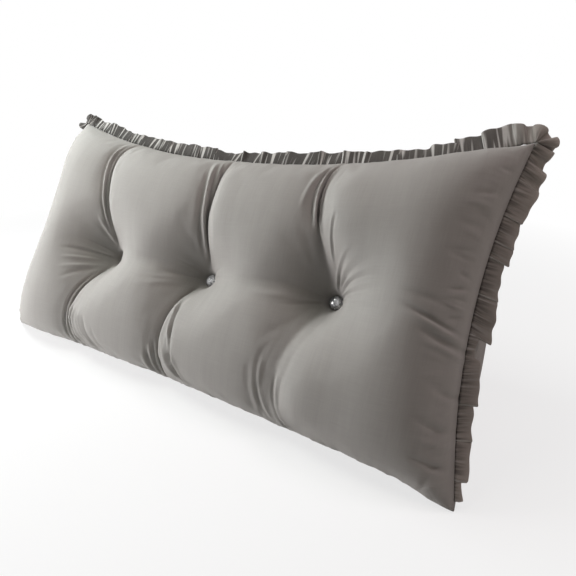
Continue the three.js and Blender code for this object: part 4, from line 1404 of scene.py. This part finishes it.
def crystal_material():
    """A silvered crystal with painted glints: its base colour is bright or dark in small random cells, which
    stand in for cut facets catching different lights.
    """
    material = plain_material("crystal", CRYSTAL_COLOUR, CRYSTAL_ROUGHNESS)
    tree = material.node_tree
    shader = tree.nodes["Principled BSDF"]
    shader.inputs["Metallic"].default_value = CRYSTAL_MIRROR
    place = add_node(tree, "ShaderNodeTexCoord").outputs["Object"]
    # Painted glints and dark painted reflections: random cells of bright and dark base colour, not the cut
    # facets
    facets = add_node(tree, "ShaderNodeTexVoronoi", {}, {"Scale": CRYSTAL_GLINT_SCALE}, {"Vector": place})
    bright = add_node(tree, "ShaderNodeSeparateColor", {}, {}, {"Color": facets.outputs["Color"]}).outputs[0]
    colour = mixed(tree, ranged(tree, bright, **CRYSTAL_PAINTED_GLINT_RANGE), CRYSTAL_PAINTED_REFLECTION_DARK, CRYSTAL_COLOUR)
    tree.links.new(colour, shader.inputs["Base Color"])
    return material


# Studio

def ray_share(tree, ray, amount):
    """An amount that holds for one kind of ray only."""
    rays = tree.nodes.new("ShaderNodeLightPath")
    return worked_out(tree, "MULTIPLY", rays.outputs[ray], amount)


def make_stage():
    """A wide white floor. Seen directly it glows a little, so that it stays as pale as the background,
    and all the more further off."""
    bm = bmesh.new()
    bmesh.ops.create_grid(bm, x_segments=1, y_segments=1, size=FLOOR_SIZE)
    floor = mesh_object("floor", bm)
    material = plain_material("pale floor", FLOOR_COLOUR, FLOOR_ROUGHNESS)
    tree = material.node_tree
    place = add_node(tree, "ShaderNodeTexCoord").outputs["Object"]
    away = add_node(tree, "ShaderNodeVectorMath", {"operation": "LENGTH"}, {}, {0: place}).outputs["Value"]
    near, far = FLOOR_GLOW
    glow = ranged(tree, away, near["glow"], far["glow"], near["distance"], far["distance"])
    seen = worked_out(tree, "MULTIPLY", glow, ray_share(tree, "Is Camera Ray", 1.0))
    white = tree.nodes.new("ShaderNodeEmission")
    mix = tree.nodes.new("ShaderNodeMixShader")
    tree.links.new(seen, mix.inputs["Fac"])
    tree.links.new(tree.nodes["Principled BSDF"].outputs["BSDF"], mix.inputs[1])
    tree.links.new(white.outputs["Emission"], mix.inputs[2])
    tree.links.new(mix.outputs[0], tree.nodes["Material Output"].inputs["Surface"])
    floor.data.materials.append(material)


def make_camera():
    a, e = CAMERA_AZIMUTH, CAMERA_ELEVATION
    back = Vector((math.sin(a) * math.cos(e), -math.cos(a) * math.cos(e), math.sin(e)))
    right = Vector((math.cos(a), math.sin(a), 0))
    up = back.cross(right)
    data = bpy.data.cameras.new("camera")
    data.sensor_width = CAMERA_SENSOR
    data.lens = CAMERA_LENS
    data.clip_start = CAMERA_NEAR
    camera = bpy.data.objects.new("camera", data)
    camera.matrix_world = Matrix.Translation(CAMERA_PLACE) @ Matrix((right, up, back)).transposed().to_4x4()
    bpy.context.scene.collection.objects.link(camera)
    bpy.context.scene.camera = camera


def make_light(name, place, target, size, power, colour):
    data = bpy.data.lights.new(name, "AREA")
    data.shape = "DISK"
    data.size = size
    data.energy = power
    data.color = colour
    lamp = bpy.data.objects.new(name, data)
    lamp.location = place
    lamp.rotation_euler = (Vector(target) - Vector(place)).to_track_quat("-Z", "Y").to_euler()
    bpy.context.scene.collection.objects.link(lamp)


def make_world():
    """A white room that is seen directly and in the crystals, and leaves the light to the lamps."""
    world = bpy.data.worlds.new("studio")
    world.use_nodes = True
    tree = world.node_tree
    seen = ray_share(tree, "Is Camera Ray", WORLD_SEEN)
    reflected = ray_share(tree, "Is Glossy Ray", WORLD_REFLECTED)
    background = tree.nodes["Background"]
    background.inputs["Color"].default_value = (1, 1, 1, 1)
    tree.links.new(worked_out(tree, "ADD", seen, reflected), background.inputs["Strength"])
    bpy.context.scene.world = world


make_camera()
make_stage()
make_world()
for lamp in LAMPS:
    make_light(**lamp)
bpy.context.scene.view_settings.view_transform = "Standard"
weave = woven_cotton()
cushion = make_cushion()
cushion.data.materials.append(cotton_material("cover cotton", weave, cover_colour, COVER_BUMP))
ruffle = make_ruffle()
ruffle.data.materials.append(cotton_material("ruffle cotton", weave, ruffle_colour, RUFFLE_BUMP))
crystal = crystal_material()
for number, tuft in enumerate(TUFTS):
    button = make_button(tuft, BUTTON_TURN * number)
    button.data.materials.append(crystal)
